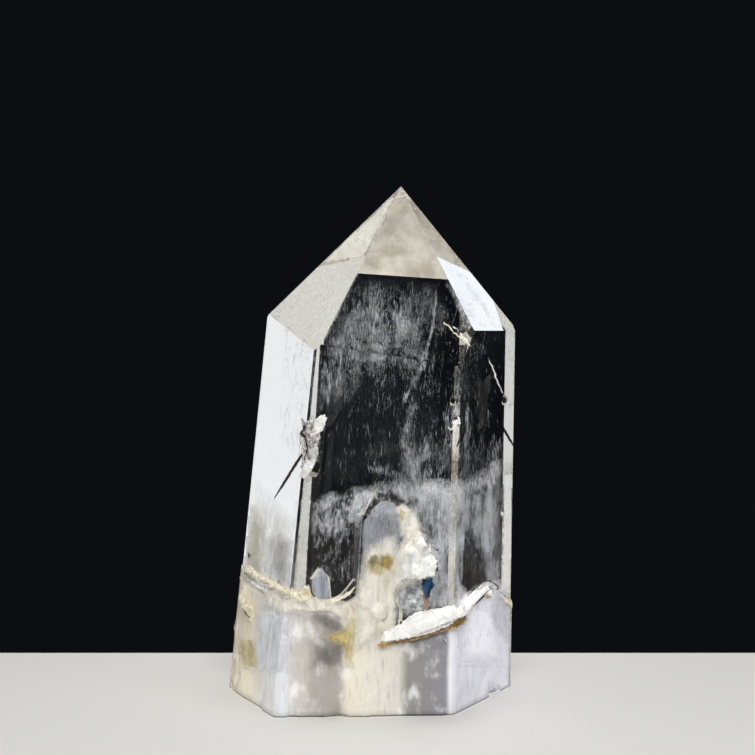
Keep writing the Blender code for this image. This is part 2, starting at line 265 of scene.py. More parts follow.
@dataclass(frozen=True)
class MilkyRoot:
    """Milky quartz, grown fast round bubbles: dense and cloudy, with no gloss of its own.

    The eye sees cream, lilac and smoky zones that stand upright beside each other, with clouds and
    fine upright streaks in them.
    """

    name: str = "milky_quartz_root"
    zones: tuple[tuple[float, str], ...] = (
        (-24.0, "#E6DABE"),
        (-17.0, "#E4DDCC"),
        (-15.5, "#D6D4CF"),
        (-12.0, "#DADBE0"),
        (-11.4, "#C6C3C0"),
        (-11.0, "#C4C0BC"),
        (-9.2, "#BDB9B0"),
        (-8.6, "#A8A39D"),
        (-4.4, "#A39E96"),
        (-3.4, "#DDD6C4"),
        (0.0, "#DAD5CA"),
        (4.0, "#CFCBC2"),
        (5.2, "#85827E"),
        (10.6, "#84838A"),
        (11.2, "#E8E7EA"),
        (12.2, "#DAD9E2"),
        (22.0, "#EEEEF4"),
    )
    upper: str = "#C8C5BC"
    upper_deep: str = "#A29D91"
    streak: str = "#8B878C"
    cloud: str = "#F6F5F4"
    # Painted light: strength of a faint glow in the root's own colours, standing in for light scattered inside it.
    glow: float = 0.10
    streak_mm: float = 0.5
    cloud_mm: float = 3.2
    wander_mm: float = 1.4

    def material(self) -> bpy.types.Material:
        """Build the material and return it."""
        material, tree = empty_material(self.name)
        place = add_node(tree, "ShaderNodeTexCoord").outputs["Object"]
        low, high = self.zones[0][0], self.zones[-1][0]
        wander = noise_node(tree, place, 5.0, 1.5, 3.0)
        across = add_node(tree, "ShaderNodeSeparateXYZ", None, {"Vector": place}).outputs["X"]
        moved = add_node(
            tree, "ShaderNodeMath", {1: self.wander_mm * MM}, {0: wander, 2: across}, operation="MULTIPLY_ADD"
        )
        middle = self.wander_mm / 2
        share = add_node(
            tree,
            "ShaderNodeMapRange",
            {"From Min": (low + middle) * MM, "From Max": (high + middle) * MM},
            {"Value": moved.outputs[0]},
        )
        zone = add_node(tree, "ShaderNodeValToRGB", None, {"Fac": share.outputs[0]})
        paint_ramp(zone, [((place_mm - low) / (high - low), code) for place_mm, code in self.zones])
        clouds = ramp_between(tree, noise_node(tree, place, self.cloud_mm, 1.6, 5.0), 0.5, 0.72, 0.75)
        clouded = mixed(tree, clouds, zone.outputs[0], self.cloud)
        streaks = ramp_between(tree, noise_node(tree, place, self.streak_mm, 7.0), 0.52, 0.75, 0.5)
        sides = mixed(tree, streaks, clouded, self.streak)
        normal = add_node(tree, "ShaderNodeNewGeometry").outputs["Normal"]
        facing = add_node(tree, "ShaderNodeSeparateXYZ", None, {"Vector": normal}).outputs["Z"]
        mottling = ramp_between(tree, noise_node(tree, place, self.cloud_mm, 1.0, 5.0), 0.35, 0.7)
        above = mixed(tree, mottling, self.upper, self.upper_deep)
        colour = mixed(tree, ramp_between(tree, facing, 0.35, 0.65), sides, above)
        # The emission here is painted light: a glow in the root's colours that no lamp gives.
        shader = add_node(
            tree,
            "ShaderNodeBsdfPrincipled",
            {"Roughness": 0.8, "Emission Strength": self.glow},
            {"Base Color": colour, "Emission Color": colour},
        )
        add_node(tree, "ShaderNodeOutputMaterial", None, {"Surface": shader.outputs[0]})
        return material


@dataclass(frozen=True)
class GrownMass:
    """A matt, grainy natural finish of two colours with an upright grain and a ragged rim.

    It serves what stands on the crystal or close under its face: frosty broken quartz, cream crust,
    limonite stain and the sides of cracks. The piece's own cover thins it out towards its rim.
    """

    name: str
    pale: str
    deep: str
    grain_mm: float = 0.5
    balance: float = 0.5
    spread: float = 0.16
    roughness: float = 0.6
    glow: float = 0.03
    # Painted light: strength of a glow in the mass's own colours, standing in for light scattered in it.
    tall: float = 2.0
    relief_mm: float = 0.05
    coat: float = 0.0
    opacity: float = 1.0
    ragged: float = 0.9
    rim: tuple[float, float] = (0.2, 0.7)

    def material(self) -> bpy.types.Material:
        """Build the material and return it."""
        material, tree = empty_material(self.name)
        place = add_node(tree, "ShaderNodeTexCoord").outputs["Object"]
        grain = noise_node(tree, place, self.grain_mm, self.tall, 5.0)
        ramp = add_node(tree, "ShaderNodeValToRGB", None, {"Fac": grain})
        paint_ramp(ramp, [(self.balance - self.spread, self.deep), (self.balance + self.spread, self.pale)])
        bump = add_node(tree, "ShaderNodeBump", {"Strength": 0.5, "Distance": self.relief_mm * MM}, {"Height": grain})
        cover = add_node(tree, "ShaderNodeAttribute", attribute_name=COVER).outputs["Fac"]
        holes = noise_node(tree, place, self.grain_mm * 1.3, self.tall, 3.0)
        worn = add_node(tree, "ShaderNodeMath", {1: self.ragged}, {0: holes, 2: cover}, operation="MULTIPLY_ADD")
        low, high = (self.ragged / 2 + bound for bound in self.rim)
        alpha = ramp_between(tree, worn.outputs[0], low, high, self.opacity)
        # The emission here is painted light: a glow in the grain's colours that no lamp gives.
        shader = add_node(
            tree,
            "ShaderNodeBsdfPrincipled",
            {
                "Roughness": self.roughness,
                "Emission Strength": self.glow,
                "Coat Weight": self.coat,
                "Coat Roughness": 0.15,
            },
            {"Base Color": ramp.outputs[0], "Emission Color": ramp.outputs[0], "Normal": bump.outputs[0], "Alpha": alpha},
        )
        add_node(tree, "ShaderNodeOutputMaterial", None, {"Surface": shader.outputs[0]})
        return material


@dataclass(frozen=True)
class BubbleHaze:
    """Fine bubbles caught in the growing quartz, too small to tell apart.

    The eye sees a soft white cloud with upright wisps, and the dark between them.
    """

    name: str
    colour: str = "#E9EBF0"
    opacity: float = 0.5
    cloud_mm: float = 2.6
    wisp_mm: float = 0.28
    tall: float = 5.0
    limits: tuple[float, float] = (0.46, 0.68)
    # Painted light: strength of a glow in the haze's own colour, standing in for light scattered in it.
    glow: float = 0.0

    def material(self) -> bpy.types.Material:
        """Build the material and return it."""
        material, tree = empty_material(self.name)
        place = add_node(tree, "ShaderNodeTexCoord").outputs["Object"]
        clouds = noise_node(tree, place, self.cloud_mm, 1.8, 4.0)
        wisps = noise_node(tree, place, self.wisp_mm, self.tall, 3.0)
        both = add_node(tree, "ShaderNodeMix", {"Factor": 0.4, 2: 0.0}, {2: clouds, 3: wisps}).outputs[0]
        dense = ramp_between(tree, both, *self.limits, self.opacity)
        cover = add_node(tree, "ShaderNodeAttribute", attribute_name=COVER).outputs["Fac"]
        alpha = add_node(tree, "ShaderNodeMath", None, {0: dense, 1: cover}, operation="MULTIPLY").outputs[0]
        # The emission here is painted light: a glow in the haze colour that no lamp gives.
        shader = add_node(
            tree,
            "ShaderNodeBsdfPrincipled",
            {
                "Base Color": linear(self.colour),
                "Roughness": 1.0,
                "Specular IOR Level": 0.0,
                "Emission Color": linear(self.colour),
                "Emission Strength": self.glow,
            },
            {"Alpha": alpha},
        )
        add_node(tree, "ShaderNodeOutputMaterial", None, {"Surface": shader.outputs[0]})
        return material


@dataclass(frozen=True)
class BubbleVeil:
    """Threads of bubbles drawn out upright: white, thin and half see-through."""

    name: str = "bubble_threads"
    colour: str = "#F0F2F8"
    opacity: float = 0.21

    def material(self) -> bpy.types.Material:
        """Build the material and return it."""
        material, tree = empty_material(self.name)
        place = add_node(tree, "ShaderNodeTexCoord").outputs["Object"]
        alpha = ramp_between(tree, noise_node(tree, place, 1.2, 1.0, 2.0), 0.25, 0.75, 2 * self.opacity)
        shader = add_node(
            tree,
            "ShaderNodeBsdfPrincipled",
            {"Base Color": linear(self.colour), "Roughness": 1.0, "Specular IOR Level": 0.0},
            {"Alpha": alpha},
        )
        add_node(tree, "ShaderNodeOutputMaterial", None, {"Surface": shader.outputs[0]})
        return material


THREADS = BubbleVeil()
FROSTY = GrownMass("frosty_broken_quartz", "#FFFFFC", "#C2C0BE", 1.3, 0.46, roughness=0.4, glow=0.14, coat=0.4, opacity=0.88, ragged=1.2, rim=(0.1, 1.1))
SPLINTERED = GrownMass("splintered_quartz", "#FFFFFF", "#EDEAE2", 0.6, roughness=0.35, glow=0.18, coat=0.4, rim=(0.0, 0.4))
CREAM = GrownMass("cream_quartz_crust", "#FFFAEA", "#D6C79E", 0.7, 0.45, glow=0.08, opacity=0.9)
CREAM_CLOUD = GrownMass("cream_cloud", "#FFFCF2", "#DDD6C6", 1.6, 0.45, glow=0.10, opacity=0.85, ragged=0.9, rim=(0.0, 0.9))
SMOKE = GrownMass("smoky_cloud", "#A8A39E", "#6A6664", 2.0, 0.5, glow=0.0, opacity=0.55, ragged=1.5, rim=(0.1, 1.3))
LIMONITE = GrownMass("limonite_stain", "#EEDDA2", "#B6954C", 0.7, opacity=0.85, roughness=0.8, glow=0.05, ragged=1.3, rim=(0.1, 1.1))
GOLDEN = GrownMass("limonite_in_clear_quartz", "#F0E8C4", "#BAA464", 1.2, opacity=0.6, roughness=0.7, glow=0.05, ragged=1.3, rim=(0.1, 1.2))
SEAM = GrownMass("brown_limonite_seam", "#C6A070", "#74502C", 0.5, 0.52, opacity=0.95, roughness=0.8, ragged=0.8)
BRUISE = GrownMass("bruised_quartz", "#EDE8E4", "#5C5350", 0.5, 0.47, roughness=0.35, coat=0.6, tall=1.4, ragged=0.7)
CRACK = GrownMass("open_crack", "#3A3532", "#0E0C0B", 0.8, roughness=0.5, glow=0.0, ragged=0.2, rim=(0.0, 0.5))
LILAC = GrownMass("lilac_grey_quartz", "#BFC2CC", "#9497A4", 0.6, opacity=0.95, roughness=0.4, coat=0.5, tall=5.0, rim=(0.0, 0.4))
BLUE_FILM = GrownMass("blue_interference_film", "#285A80", "#0A0E2A", 0.9, 0.54, 0.10, roughness=0.15, coat=1.0, opacity=0.9, ragged=1.2, rim=(0.1, 1.0))
ORANGE_FILM = GrownMass("orange_interference_film", "#E8C8AC", "#A87A58", 0.8, roughness=0.2, coat=0.8, opacity=0.5)
PIT_GREY = GrownMass("shell_fracture", "#E6E8EA", "#6E7276", 0.9, 0.5, 0.12, roughness=0.2, coat=1.0, opacity=0.7, tall=1.0)
WHITE_HAZE = BubbleHaze("white_bubble_haze", opacity=0.10)
DENSE_HAZE = BubbleHaze("dense_bubble_haze", "#F2F2F4", 0.45, 2.0, 0.3, 2.5, (0.44, 0.66))
GREY_HAZE = BubbleHaze("grey_bubble_haze", "#D3D5DA", 0.66, 2.6, limits=(0.38, 0.66))
CREAM_HAZE = BubbleHaze("cream_haze", "#C4C0B4", 0.6, 4.4, 1.2, 1.5, (0.32, 0.66))
LILAC_HAZE = BubbleHaze("lilac_haze", "#F8F7FC", 0.95, 2.4, limits=(0.22, 0.50), glow=0.08)
STREAKS = BubbleHaze("dark_growth_streaks", "#9AA0AA", 0.28, 1.2, 0.12, 22.0, (0.50, 0.66))
TIP_CLOUD = BubbleHaze("tip_cloud", "#C9C8C2", 0.45, 4.0, 1.6, 1.5, (0.30, 0.66))
CLEAR_TIP_CLOUD = BubbleHaze("clear_tip_cloud", "#DAD8D0", 0.6, 5.0, 2.0, 1.5, (0.15, 0.60))


def paint_ramp(ramp: bpy.types.Node, stops: Iterable[tuple[float, str]]) -> None:
    """Set the stops of a colour ramp.

    Args:
        ramp: The colour ramp node.
        stops: Places from 0 to 1 with their sRGB hex colours, in order.
    """
    stops = list(stops)
    elements = ramp.color_ramp.elements
    while len(elements) < len(stops):
        elements.new(0.5)
    for element, (place, code) in zip(elements, stops):
        element.position = place
        element.color = linear(code)


def add_piece(name: str, form: bmesh.types.BMesh, materials: Sequence[bpy.types.Material]) -> bpy.types.Object:
    """Turn a finished bmesh into a piece that rides on the crystal.

    Args:
        name: The piece's name.
        form: Its mesh in metres, in the solid's frame. It is freed.
        materials: Its materials, in the order of its face indices.

    Returns:
        The new object.
    """
    mesh = bpy.data.meshes.new(name)
    form.to_mesh(mesh)
    form.free()
    for material in materials:
        mesh.materials.append(material)
    piece = bpy.data.objects.new(name, mesh)
    bpy.context.scene.collection.objects.link(piece)
    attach(piece, BODY)
    return piece


@dataclass
class View:
    """The photograph's view, and where its rays meet the crystal.

    Its own measures are the camera's place from the tip, in millimetres, its pitch and the focal
    length in pixels. A heading turns it round the crystal, for what grew on the other sides.
    """

    heading: float = 0.0
    offset_mm: Place = (-3.46, -250.0, -28.1)
    pitch: float = 5.07
    focal_px: float = 1700.0
    pixel_mm: float = 0.14
    tip: Vector = field(init=False)
    place: Vector = field(init=False)
    turn: Matrix = field(init=False)
    tree: BVHTree = field(init=False)

    def __post_init__(self) -> None:
        """Find the tip, place the camera from it, and index the solid's surface."""
        mesh = frame["nodes"][NODE].data
        corners = [vertex.co.copy() for vertex in mesh.vertices]
        self.tip = max(corners, key=lambda corner: corner.z)
        back = Matrix.Rotation(-math.radians(self.pitch), 3, "X")
        around = Matrix.Rotation(math.radians(self.heading), 3, "Z")
        self.place = around @ (self.tip + back @ (Vector(self.offset_mm) * MM))
        self.turn = around @ Matrix.Rotation(math.radians(90.0 - self.pitch), 3, "X")
        self.tree = BVHTree.FromPolygons(corners, [tuple(face.vertices) for face in mesh.polygons])

    def camera(self) -> bpy.types.Object:
        """Create the camera and return it."""
        lens = bpy.data.cameras.new("photo_camera")
        lens.sensor_width = SENSOR
        lens.lens = self.focal_px * SENSOR / IMAGE_SIDE
        lens.clip_start = 0.01
        camera = bpy.data.objects.new("photo_camera", lens)
        camera.matrix_world = Matrix.Translation(self.place) @ self.turn.to_4x4()
        bpy.context.scene.collection.objects.link(camera)
        bpy.context.scene.camera = camera
        return camera

    def ray(self, pixel: Pixel) -> Vector:
        """Direction of the sight line through a pixel."""
        half = IMAGE_SIDE / 2
        return (self.turn @ Vector(((pixel[0] - half) / self.focal_px, (half - pixel[1]) / self.focal_px, -1.0))).normalized()

    def on_surface(self, pixel: Pixel) -> tuple[Vector, Vector]:
        """Point and outward normal of the solid's surface that a pixel shows."""
        point, normal, _, _ = self.tree.ray_cast(self.place, self.ray(pixel))
        if point is None:
            raise ValueError(f"no surface at pixel {pixel}")
        return point, normal

    def inside(self, pixel: Pixel, depth_mm: float) -> Vector:
        """Point inside the crystal on the bent sight line of a pixel.

        Args:
            pixel: Column and row in the photograph.
            depth_mm: How far along the bent line, in millimetres.

        Returns:
            The point, in metres.
        """
        point, normal = self.on_surface(pixel)
        ray = self.ray(pixel)
        ratio = 1.0 / RockCrystal.ior
        cosine = -ray.dot(normal)
        bent = ray * ratio + normal * (ratio * cosine - math.sqrt(1.0 - ratio**2 * (1.0 - cosine**2)))
        return point + bent.normalized() * depth_mm * MM


def inside_outline(pixel: Pixel, outline: Sequence[Pixel]) -> bool:
    """Whether a pixel lies inside a closed outline."""
    x, y = pixel
    inside = False
    for (x0, y0), (x1, y1) in zip(outline, [*outline[1:], outline[0]]):
        if (y0 > y) != (y1 > y) and x < x0 + (y - y0) * (x1 - x0) / (y1 - y0):
            inside = not inside
    return inside


def edge_distance(pixel: Pixel, outline: Sequence[Pixel]) -> float:
    """Distance from a pixel to a closed outline, in pixels."""
    point = Vector(pixel)
    best = math.inf
    for start, end in zip(outline, [*outline[1:], outline[0]]):
        first, run = Vector(start), Vector(end) - Vector(start)
        share = min(max((point - first).dot(run) / max(run.length_squared, 1e-9), 0.0), 1.0)
        best = min(best, (point - first - run * share).length)
    return best


def along_path(path: Sequence[Pixel], share: float) -> Vector:
    """Place on an open path of pixels, from 0 at its start to 1 at its end."""
    lengths = [(Vector(end) - Vector(start)).length for start, end in zip(path, path[1:])]
    left = share * sum(lengths)
    for length, start, end in zip(lengths, path, path[1:]):
        if left <= length or end == path[-1]:
            return Vector(start).lerp(Vector(end), min(left / max(length, 1e-9), 1.0))
        left -= length
    return Vector(path[-1])


def ribbon(path: Sequence[Pixel], half_width: float, end: float = 0.25) -> tuple[Pixel, ...]:
    """Outline of a band along a path of pixels, narrow at both ends.

    Args:
        path: Places on its middle line.
        half_width: Half its width in its middle, in pixels.
        end: The share of that width at its ends.

    Returns:
        The outline.
    """
    one, other = [], []
    for index, spot in enumerate(path):
        before, after = Vector(path[max(index - 1, 0)]), Vector(path[min(index + 1, len(path) - 1)])
        run = (after - before).normalized()
        side = Vector((-run.y, run.x)) * half_width * (1.0 if 0 < index < len(path) - 1 else end)
        one.append(tuple(Vector(spot) + side))
        other.append(tuple(Vector(spot) - side))
    return tuple(one + other[::-1])


@dataclass(frozen=True)
class Veil:
    """A veil of tiny bubbles drawn out upright, inside the crystal.

    Its outline or its path is where the photograph's view shows it. A path has a spread in pixels
    to its sides and along the image's height, and an outline is filled with clumps.
    """

    pixels: tuple[Pixel, ...]
    count: int
    depth: tuple[float, float] = (4.0, 14.0)
    spread: Pixel | None = None
    clump_px: float = 9.0
    clump_limit: float = 0.05
    length_mm: tuple[float, float] = (0.25, 1.1)
    width_mm: float = 0.05
    lean: float = 0.06
    slant: float = 0.06
    soft_px: float = 14.0

    def pixel(self, draw: random.Random) -> Pixel:
        """Draw the place of one fleck in the view."""
        if self.spread:
            centre = along_path(self.pixels, draw.random())
            return centre.x + draw.gauss(0.0, self.spread[0]), centre.y + draw.gauss(0.0, self.spread[1])
        columns, rows = zip(*self.pixels)
        for _ in range(400):
            spot = (draw.uniform(min(columns), max(columns)), draw.uniform(min(rows), max(rows)))
            if not inside_outline(spot, self.pixels):
                continue
            if draw.random() > edge_distance(spot, self.pixels) / self.soft_px:
                continue
            clump = noise.noise(Vector((spot[0] / self.clump_px, spot[1] / (2.2 * self.clump_px), self.count * 0.01)))
            if clump > self.clump_limit or draw.random() < 0.12:
                return spot
        return spot


@dataclass
class VeilCloud:
    """All veils of one kind as one piece of slender closed flecks."""

    name: str
    veils: tuple[Veil, ...]
    finish: BubbleVeil = THREADS
    seed: int = 7

    def build(self, view: View) -> bpy.types.Object:
        """Scatter the flecks and return the piece.

        Args:
            view: The photograph's view.

        Returns:
            The piece.
        """
        draw = random.Random(self.seed)
        corners, faces = [], []
        for veil in self.veils:
            for _ in range(veil.count):
                try:
                    centre = view.inside(veil.pixel(draw), draw.uniform(*veil.depth))
                except ValueError:
                    continue
                half = Vector((draw.gauss(veil.slant, veil.lean), draw.gauss(0.0, veil.lean), 1.0)).normalized()
                half *= draw.uniform(*veil.length_mm) * draw.random() * MM
                side = Vector((draw.uniform(-1, 1), draw.uniform(-1, 1), 0.0)).normalized()
                side *= veil.width_mm * draw.uniform(0.4, 1.0) * MM
                other = side.cross(half.normalized()) * 0.6
                first = len(corners)
                corners += [centre + half, centre - half, centre + side, centre - side * 0.4 + other]
                faces += [
                    (first, first + 2, first + 3),
                    (first + 1, first + 3, first + 2),
                    (first, first + 1, first + 2),
                    (first, first + 3, first + 1),
                ]
        form = bmesh.new()
        mesh = bpy.data.meshes.new(self.name)
        mesh.from_pydata(corners, [], faces)
        form.from_mesh(mesh)
        bpy.data.meshes.remove(mesh)
        bmesh.ops.recalc_face_normals(form, faces=form.faces[:])
        return add_piece(self.name, form, [self.finish.material()])


@dataclass
class Layer:
    """A closed thin mass laid over the crystal's face, or in the crystal, inside an outline.

    The outline is where the photograph's view shows it. Its cover, 0 at the rim and 1 inside, is
    kept in the mesh for its finish.
    """

    name: str
    outline: tuple[Pixel, ...]
    finish: GrownMass | BubbleHaze
    height_mm: float = 0.3
    facet_px: float = 5.0
    tall: float = 1.0
    edge_px: float = 3.0
    depth_mm: float = 0.0
    raise_mm: float = 0.0
    sink_mm: float = 0.1
    step_px: float = 1.1
    ragged_px: float = 1.2
    slot: Slot = Slot.MILKY

    @property
    def seed(self) -> float:
        """A number of its own for its noise, from its name."""
        return sum(ord(letter) for letter in self.name) * 0.37

    def cover(self, pixel: Pixel) -> float:
        """How far inside the ragged outline a pixel lies, from 0 to 1, or below 0 outside it."""
        shake = Vector((pixel[0] / 3.5, pixel[1] / 3.5, self.seed))
        other = shake + Vector((7.0, 3.0, 1.0))
        moved = (pixel[0] + noise.noise(shake) * self.ragged_px, pixel[1] + noise.noise(other) * self.ragged_px)
        if not inside_outline(moved, self.outline):
            return -1.0
        return min(edge_distance(moved, self.outline) / self.edge_px, 1.0)

    def lift(self, pixel: Pixel, cover: float) -> float:
        """Height of its outer side at a pixel, in millimetres, made of small leaning facets."""
        spot = Vector((pixel[0] / self.facet_px, pixel[1] / (self.facet_px * self.tall), self.seed))
        _, centres = noise.voronoi(spot)
        lean = noise.cell_vector(centres[0] * 7.3) - Vector((0.5, 0.5, 0.5))
        facet = 0.65 + 0.7 * lean.z + 1.6 * lean.dot(spot - centres[0])
        return max(self.height_mm * cover * (2.0 - cover) * facet, 0.01)

    def build(self, view: View) -> bpy.types.Object:
        """Lay the mass and return the piece.

        Args:
            view: The photograph's view.

        Returns:
            The piece.
        """
        columns, rows = zip(*self.outline)
        across = int((max(columns) - min(columns)) / self.step_px) + 2
        down = int((max(rows) - min(rows)) / self.step_px) + 2
        form = bmesh.new()
        store = form.verts.layers.float.new(COVER)
        tops: dict[tuple[int, int], bmesh.types.BMVert] = {}
        feet: dict[tuple[int, int], bmesh.types.BMVert] = {}
        for i in range(across + 1):
            for j in range(down + 1):
                pixel = (min(columns) + i * self.step_px, min(rows) + j * self.step_px)
                cover = self.cover(pixel)
                if cover < 0.0:
                    continue
                try:
                    point, normal = view.on_surface(pixel)
                    if self.depth_mm:
                        point = view.inside(pixel, self.depth_mm)
                except ValueError:
                    continue
                tops[i, j] = form.verts.new(point + normal * (self.raise_mm + self.lift(pixel, cover)) * MM)
                feet[i, j] = form.verts.new(point + normal * (self.raise_mm - self.sink_mm) * MM)
                tops[i, j][store] = cover
                feet[i, j][store] = cover
        longest = 6.0 * self.step_px * view.pixel_mm * MM
        for i in range(across):
            for j in range(down):
                cell = ((i, j), (i + 1, j), (i + 1, j + 1), (i, j + 1))
                if any(key not in tops for key in cell):
                    continue
                ring = [feet[key] for key in cell]
                if max((a.co - b.co).length for a, b in zip(ring, [*ring[1:], ring[0]])) > longest:
                    continue
                form.faces.new([tops[key] for key in cell])
                form.faces.new([feet[key] for key in reversed(cell)])
        close_sides(form, tops, feet)
        return add_piece(self.name, form, [self.finish.material()])


def close_sides(form: bmesh.types.BMesh, tops: dict, feet: dict) -> None:
    """Close the rim between the outer and the inner side of a mass, and drop loose points.

    Args:
        form: The mesh.
        tops: Outer points by place in the grid.
        feet: Inner points by place in the grid.
    """
    partner = {tops[key]: feet[key] for key in tops}
    rims = [edge for edge in form.edges if edge.is_boundary and edge.verts[0] in partner]
    for edge in rims:
        first, second = edge.verts
        form.faces.new((second, first, partner[first], partner[second]))
    bmesh.ops.delete(form, geom=[corner for corner in form.verts if not corner.link_faces], context="VERTS")
    bmesh.ops.recalc_face_normals(form, faces=form.faces[:])


@dataclass
class CrystalBody:
    """The crystal itself: the solid's faces with slightly worn edges, in clear quartz."""

    edge_wear_mm: float = 0.10
    shortest_edge_mm: float = 6.0
    clear: RockCrystal = RockCrystal()

    def mesh(self) -> bmesh.types.BMesh:
        """Copy the solid, merge its flat faces and wear its long edges."""
        form = bmesh.new()
        form.from_mesh(frame["nodes"][NODE].data)
        for face in form.faces:
            face.smooth = False
        bmesh.ops.remove_doubles(form, verts=form.verts[:], dist=1e-7)
        bmesh.ops.dissolve_limit(form, angle_limit=math.radians(0.2), verts=form.verts[:], edges=form.edges[:])
        long_edges = [
            edge
            for edge in form.edges
            if edge.calc_length() > self.shortest_edge_mm * MM
            and edge.calc_face_angle(0.0) > math.radians(15)
            and min(edge.verts[0].co.z, edge.verts[1].co.z) > 0.1 * MM
        ]
        bmesh.ops.bevel(form, geom=long_edges, offset=self.edge_wear_mm * MM, segments=2, profile=0.6, affect="EDGES", clamp_overlap=True)
        return form

    def build(self) -> bpy.types.Object:
        """Make the piece that stands for the solid."""
        piece = add_piece("crystal_body", self.mesh(), [self.clear.material()])
        carried = piece.data.attributes.get("custom_normal")
        if carried:
            piece.data.attributes.remove(carried)
        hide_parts(NODE)
        piece.visible_shadow = False
        return piece


@dataclass
class Root:
    """The milky root inside the foot, cloudy quartz that the clear crystal grew from."""

    inset_mm: float = 0.5
    front_top_mm: tuple[tuple[float, float], ...] = (
        (-21.0, 17.4),
        (-13.0, 16.4),
        (-10.0, 15.6),
        (-6.5, 15.8),
        (-4.5, 17.0),
        (-2.0, 18.5),
        (1.8, 18.0),
        (3.0, 13.4),
        (8.6, 13.2),
        (10.0, 14.6),
        (21.0, 15.6),
    )
    top_back_mm: float = 7.5
    front_band: float = 0.16
    finish: MilkyRoot = MilkyRoot()

    def front_top(self, x_mm: float) -> float:
        """Height of the root's top at the front, in millimetres, at a place across."""
        for (x0, z0), (x1, z1) in zip(self.front_top_mm, self.front_top_mm[1:]):
            if x_mm <= x1:
                return z0 + (z1 - z0) * max(x_mm - x0, 0.0) / (x1 - x0)
        return self.front_top_mm[-1][1]

    def build(self, view: View) -> bpy.types.Object:
        """Make the root as rings that follow the crystal's outline.

        Args:
            view: The view, whose index of the surface gives the outline.

        Returns:
            The piece.
        """
        form = bmesh.new()
        around, levels = 180, 26
        middle = Vector((CAD_BOX[0].x + CAD_BOX[1].x, CAD_BOX[0].y + CAD_BOX[1].y, 0.0)) / 2
        rings = []
        for level in range(levels + 1):
            share = level / levels
            ring = []
            for step in range(around):
                angle = 2 * math.pi * step / around
                out = Vector((math.cos(angle), math.sin(angle), 0.0))
                turning = min(max((out.y + 0.05 + 0.35 * out.x) / 0.9, 0.0), 1.0)
                depth = turning * turning * (3.0 - 2.0 * turning)
                front = self.front_top(out.x * 21.0)
                top = front + (self.top_back_mm - front) * depth
                z = 0.15 + (top - 0.15) * min(share * 1.25, 1.0)
                start = middle + Vector((0, 0, z * MM))
                wall, _, _, _ = view.tree.ray_cast(start + out * 0.06, -out)
                reach = (wall - start).dot(out) - self.inset_mm * MM
                if share > 0.8:
                    close = (share - 0.8) / 0.2
                    reach *= 1.0 - close
                    sunk = min(close / self.front_band, 1.0) * (1.0 - depth) * (front - self.top_back_mm) * MM
                    lump = noise.noise((start + out * reach) * 260.0) * 1.2 * MM
                    start.z += lump * math.sqrt(close) - sunk * (1.0 - out.y) / 2.0
                reach *= 1.0 + 0.015 * noise.noise((start + out * reach) * 500.0)
                ring.append(form.verts.new(start + out * reach))
            rings.append(ring)
        for low, high in zip(rings, rings[1:]):
            for step in range(around):
                after = (step + 1) % around
                form.faces.new((low[step], low[after], high[after], high[step]))
        form.faces.new(list(reversed(rings[0])))
        bmesh.ops.remove_doubles(form, verts=form.verts[:], dist=2e-5)
        bmesh.ops.recalc_face_normals(form, faces=form.faces[:])
        for face in form.faces:
            face.smooth = True
        return add_piece("milky_root", form, [self.finish.material()])


@dataclass(frozen=True)
class Softbox:
    """One soft light of the studio.

    Heading is measured from straight behind the crystal, to the right, and elevation from level.
    The brightness is what shows where a face of the crystal looks straight into the light.
    """

    name: str
    heading: float
    elevation: float
    distance: float
    width: float
    height: float
    brightness: float
    tint: str = "#FFFFFF"

    def build(self, target: Vector) -> bpy.types.Object:
        """Create the light, aimed at a point.

        Args:
            target: The point, in metres.

        Returns:
            The light's object.
        """
        turn, rise = math.radians(self.heading), math.radians(self.elevation)
        away = Vector((math.sin(turn) * math.cos(rise), math.cos(turn) * math.cos(rise), math.sin(rise)))
        lamp = bpy.data.lights.new(self.name, "AREA")
        lamp.shape = "RECTANGLE"
        lamp.size = self.width
        lamp.size_y = self.height
        lamp.energy = self.brightness * math.pi * self.width * self.height
        lamp.color = linear(self.tint)[:3]
        light = bpy.data.objects.new(self.name, lamp)
        light.location = target + away * self.distance
        light.rotation_euler = away.to_track_quat("Z", "Y").to_euler()
        light.visible_camera = False
        bpy.context.scene.collection.objects.link(light)
        return light


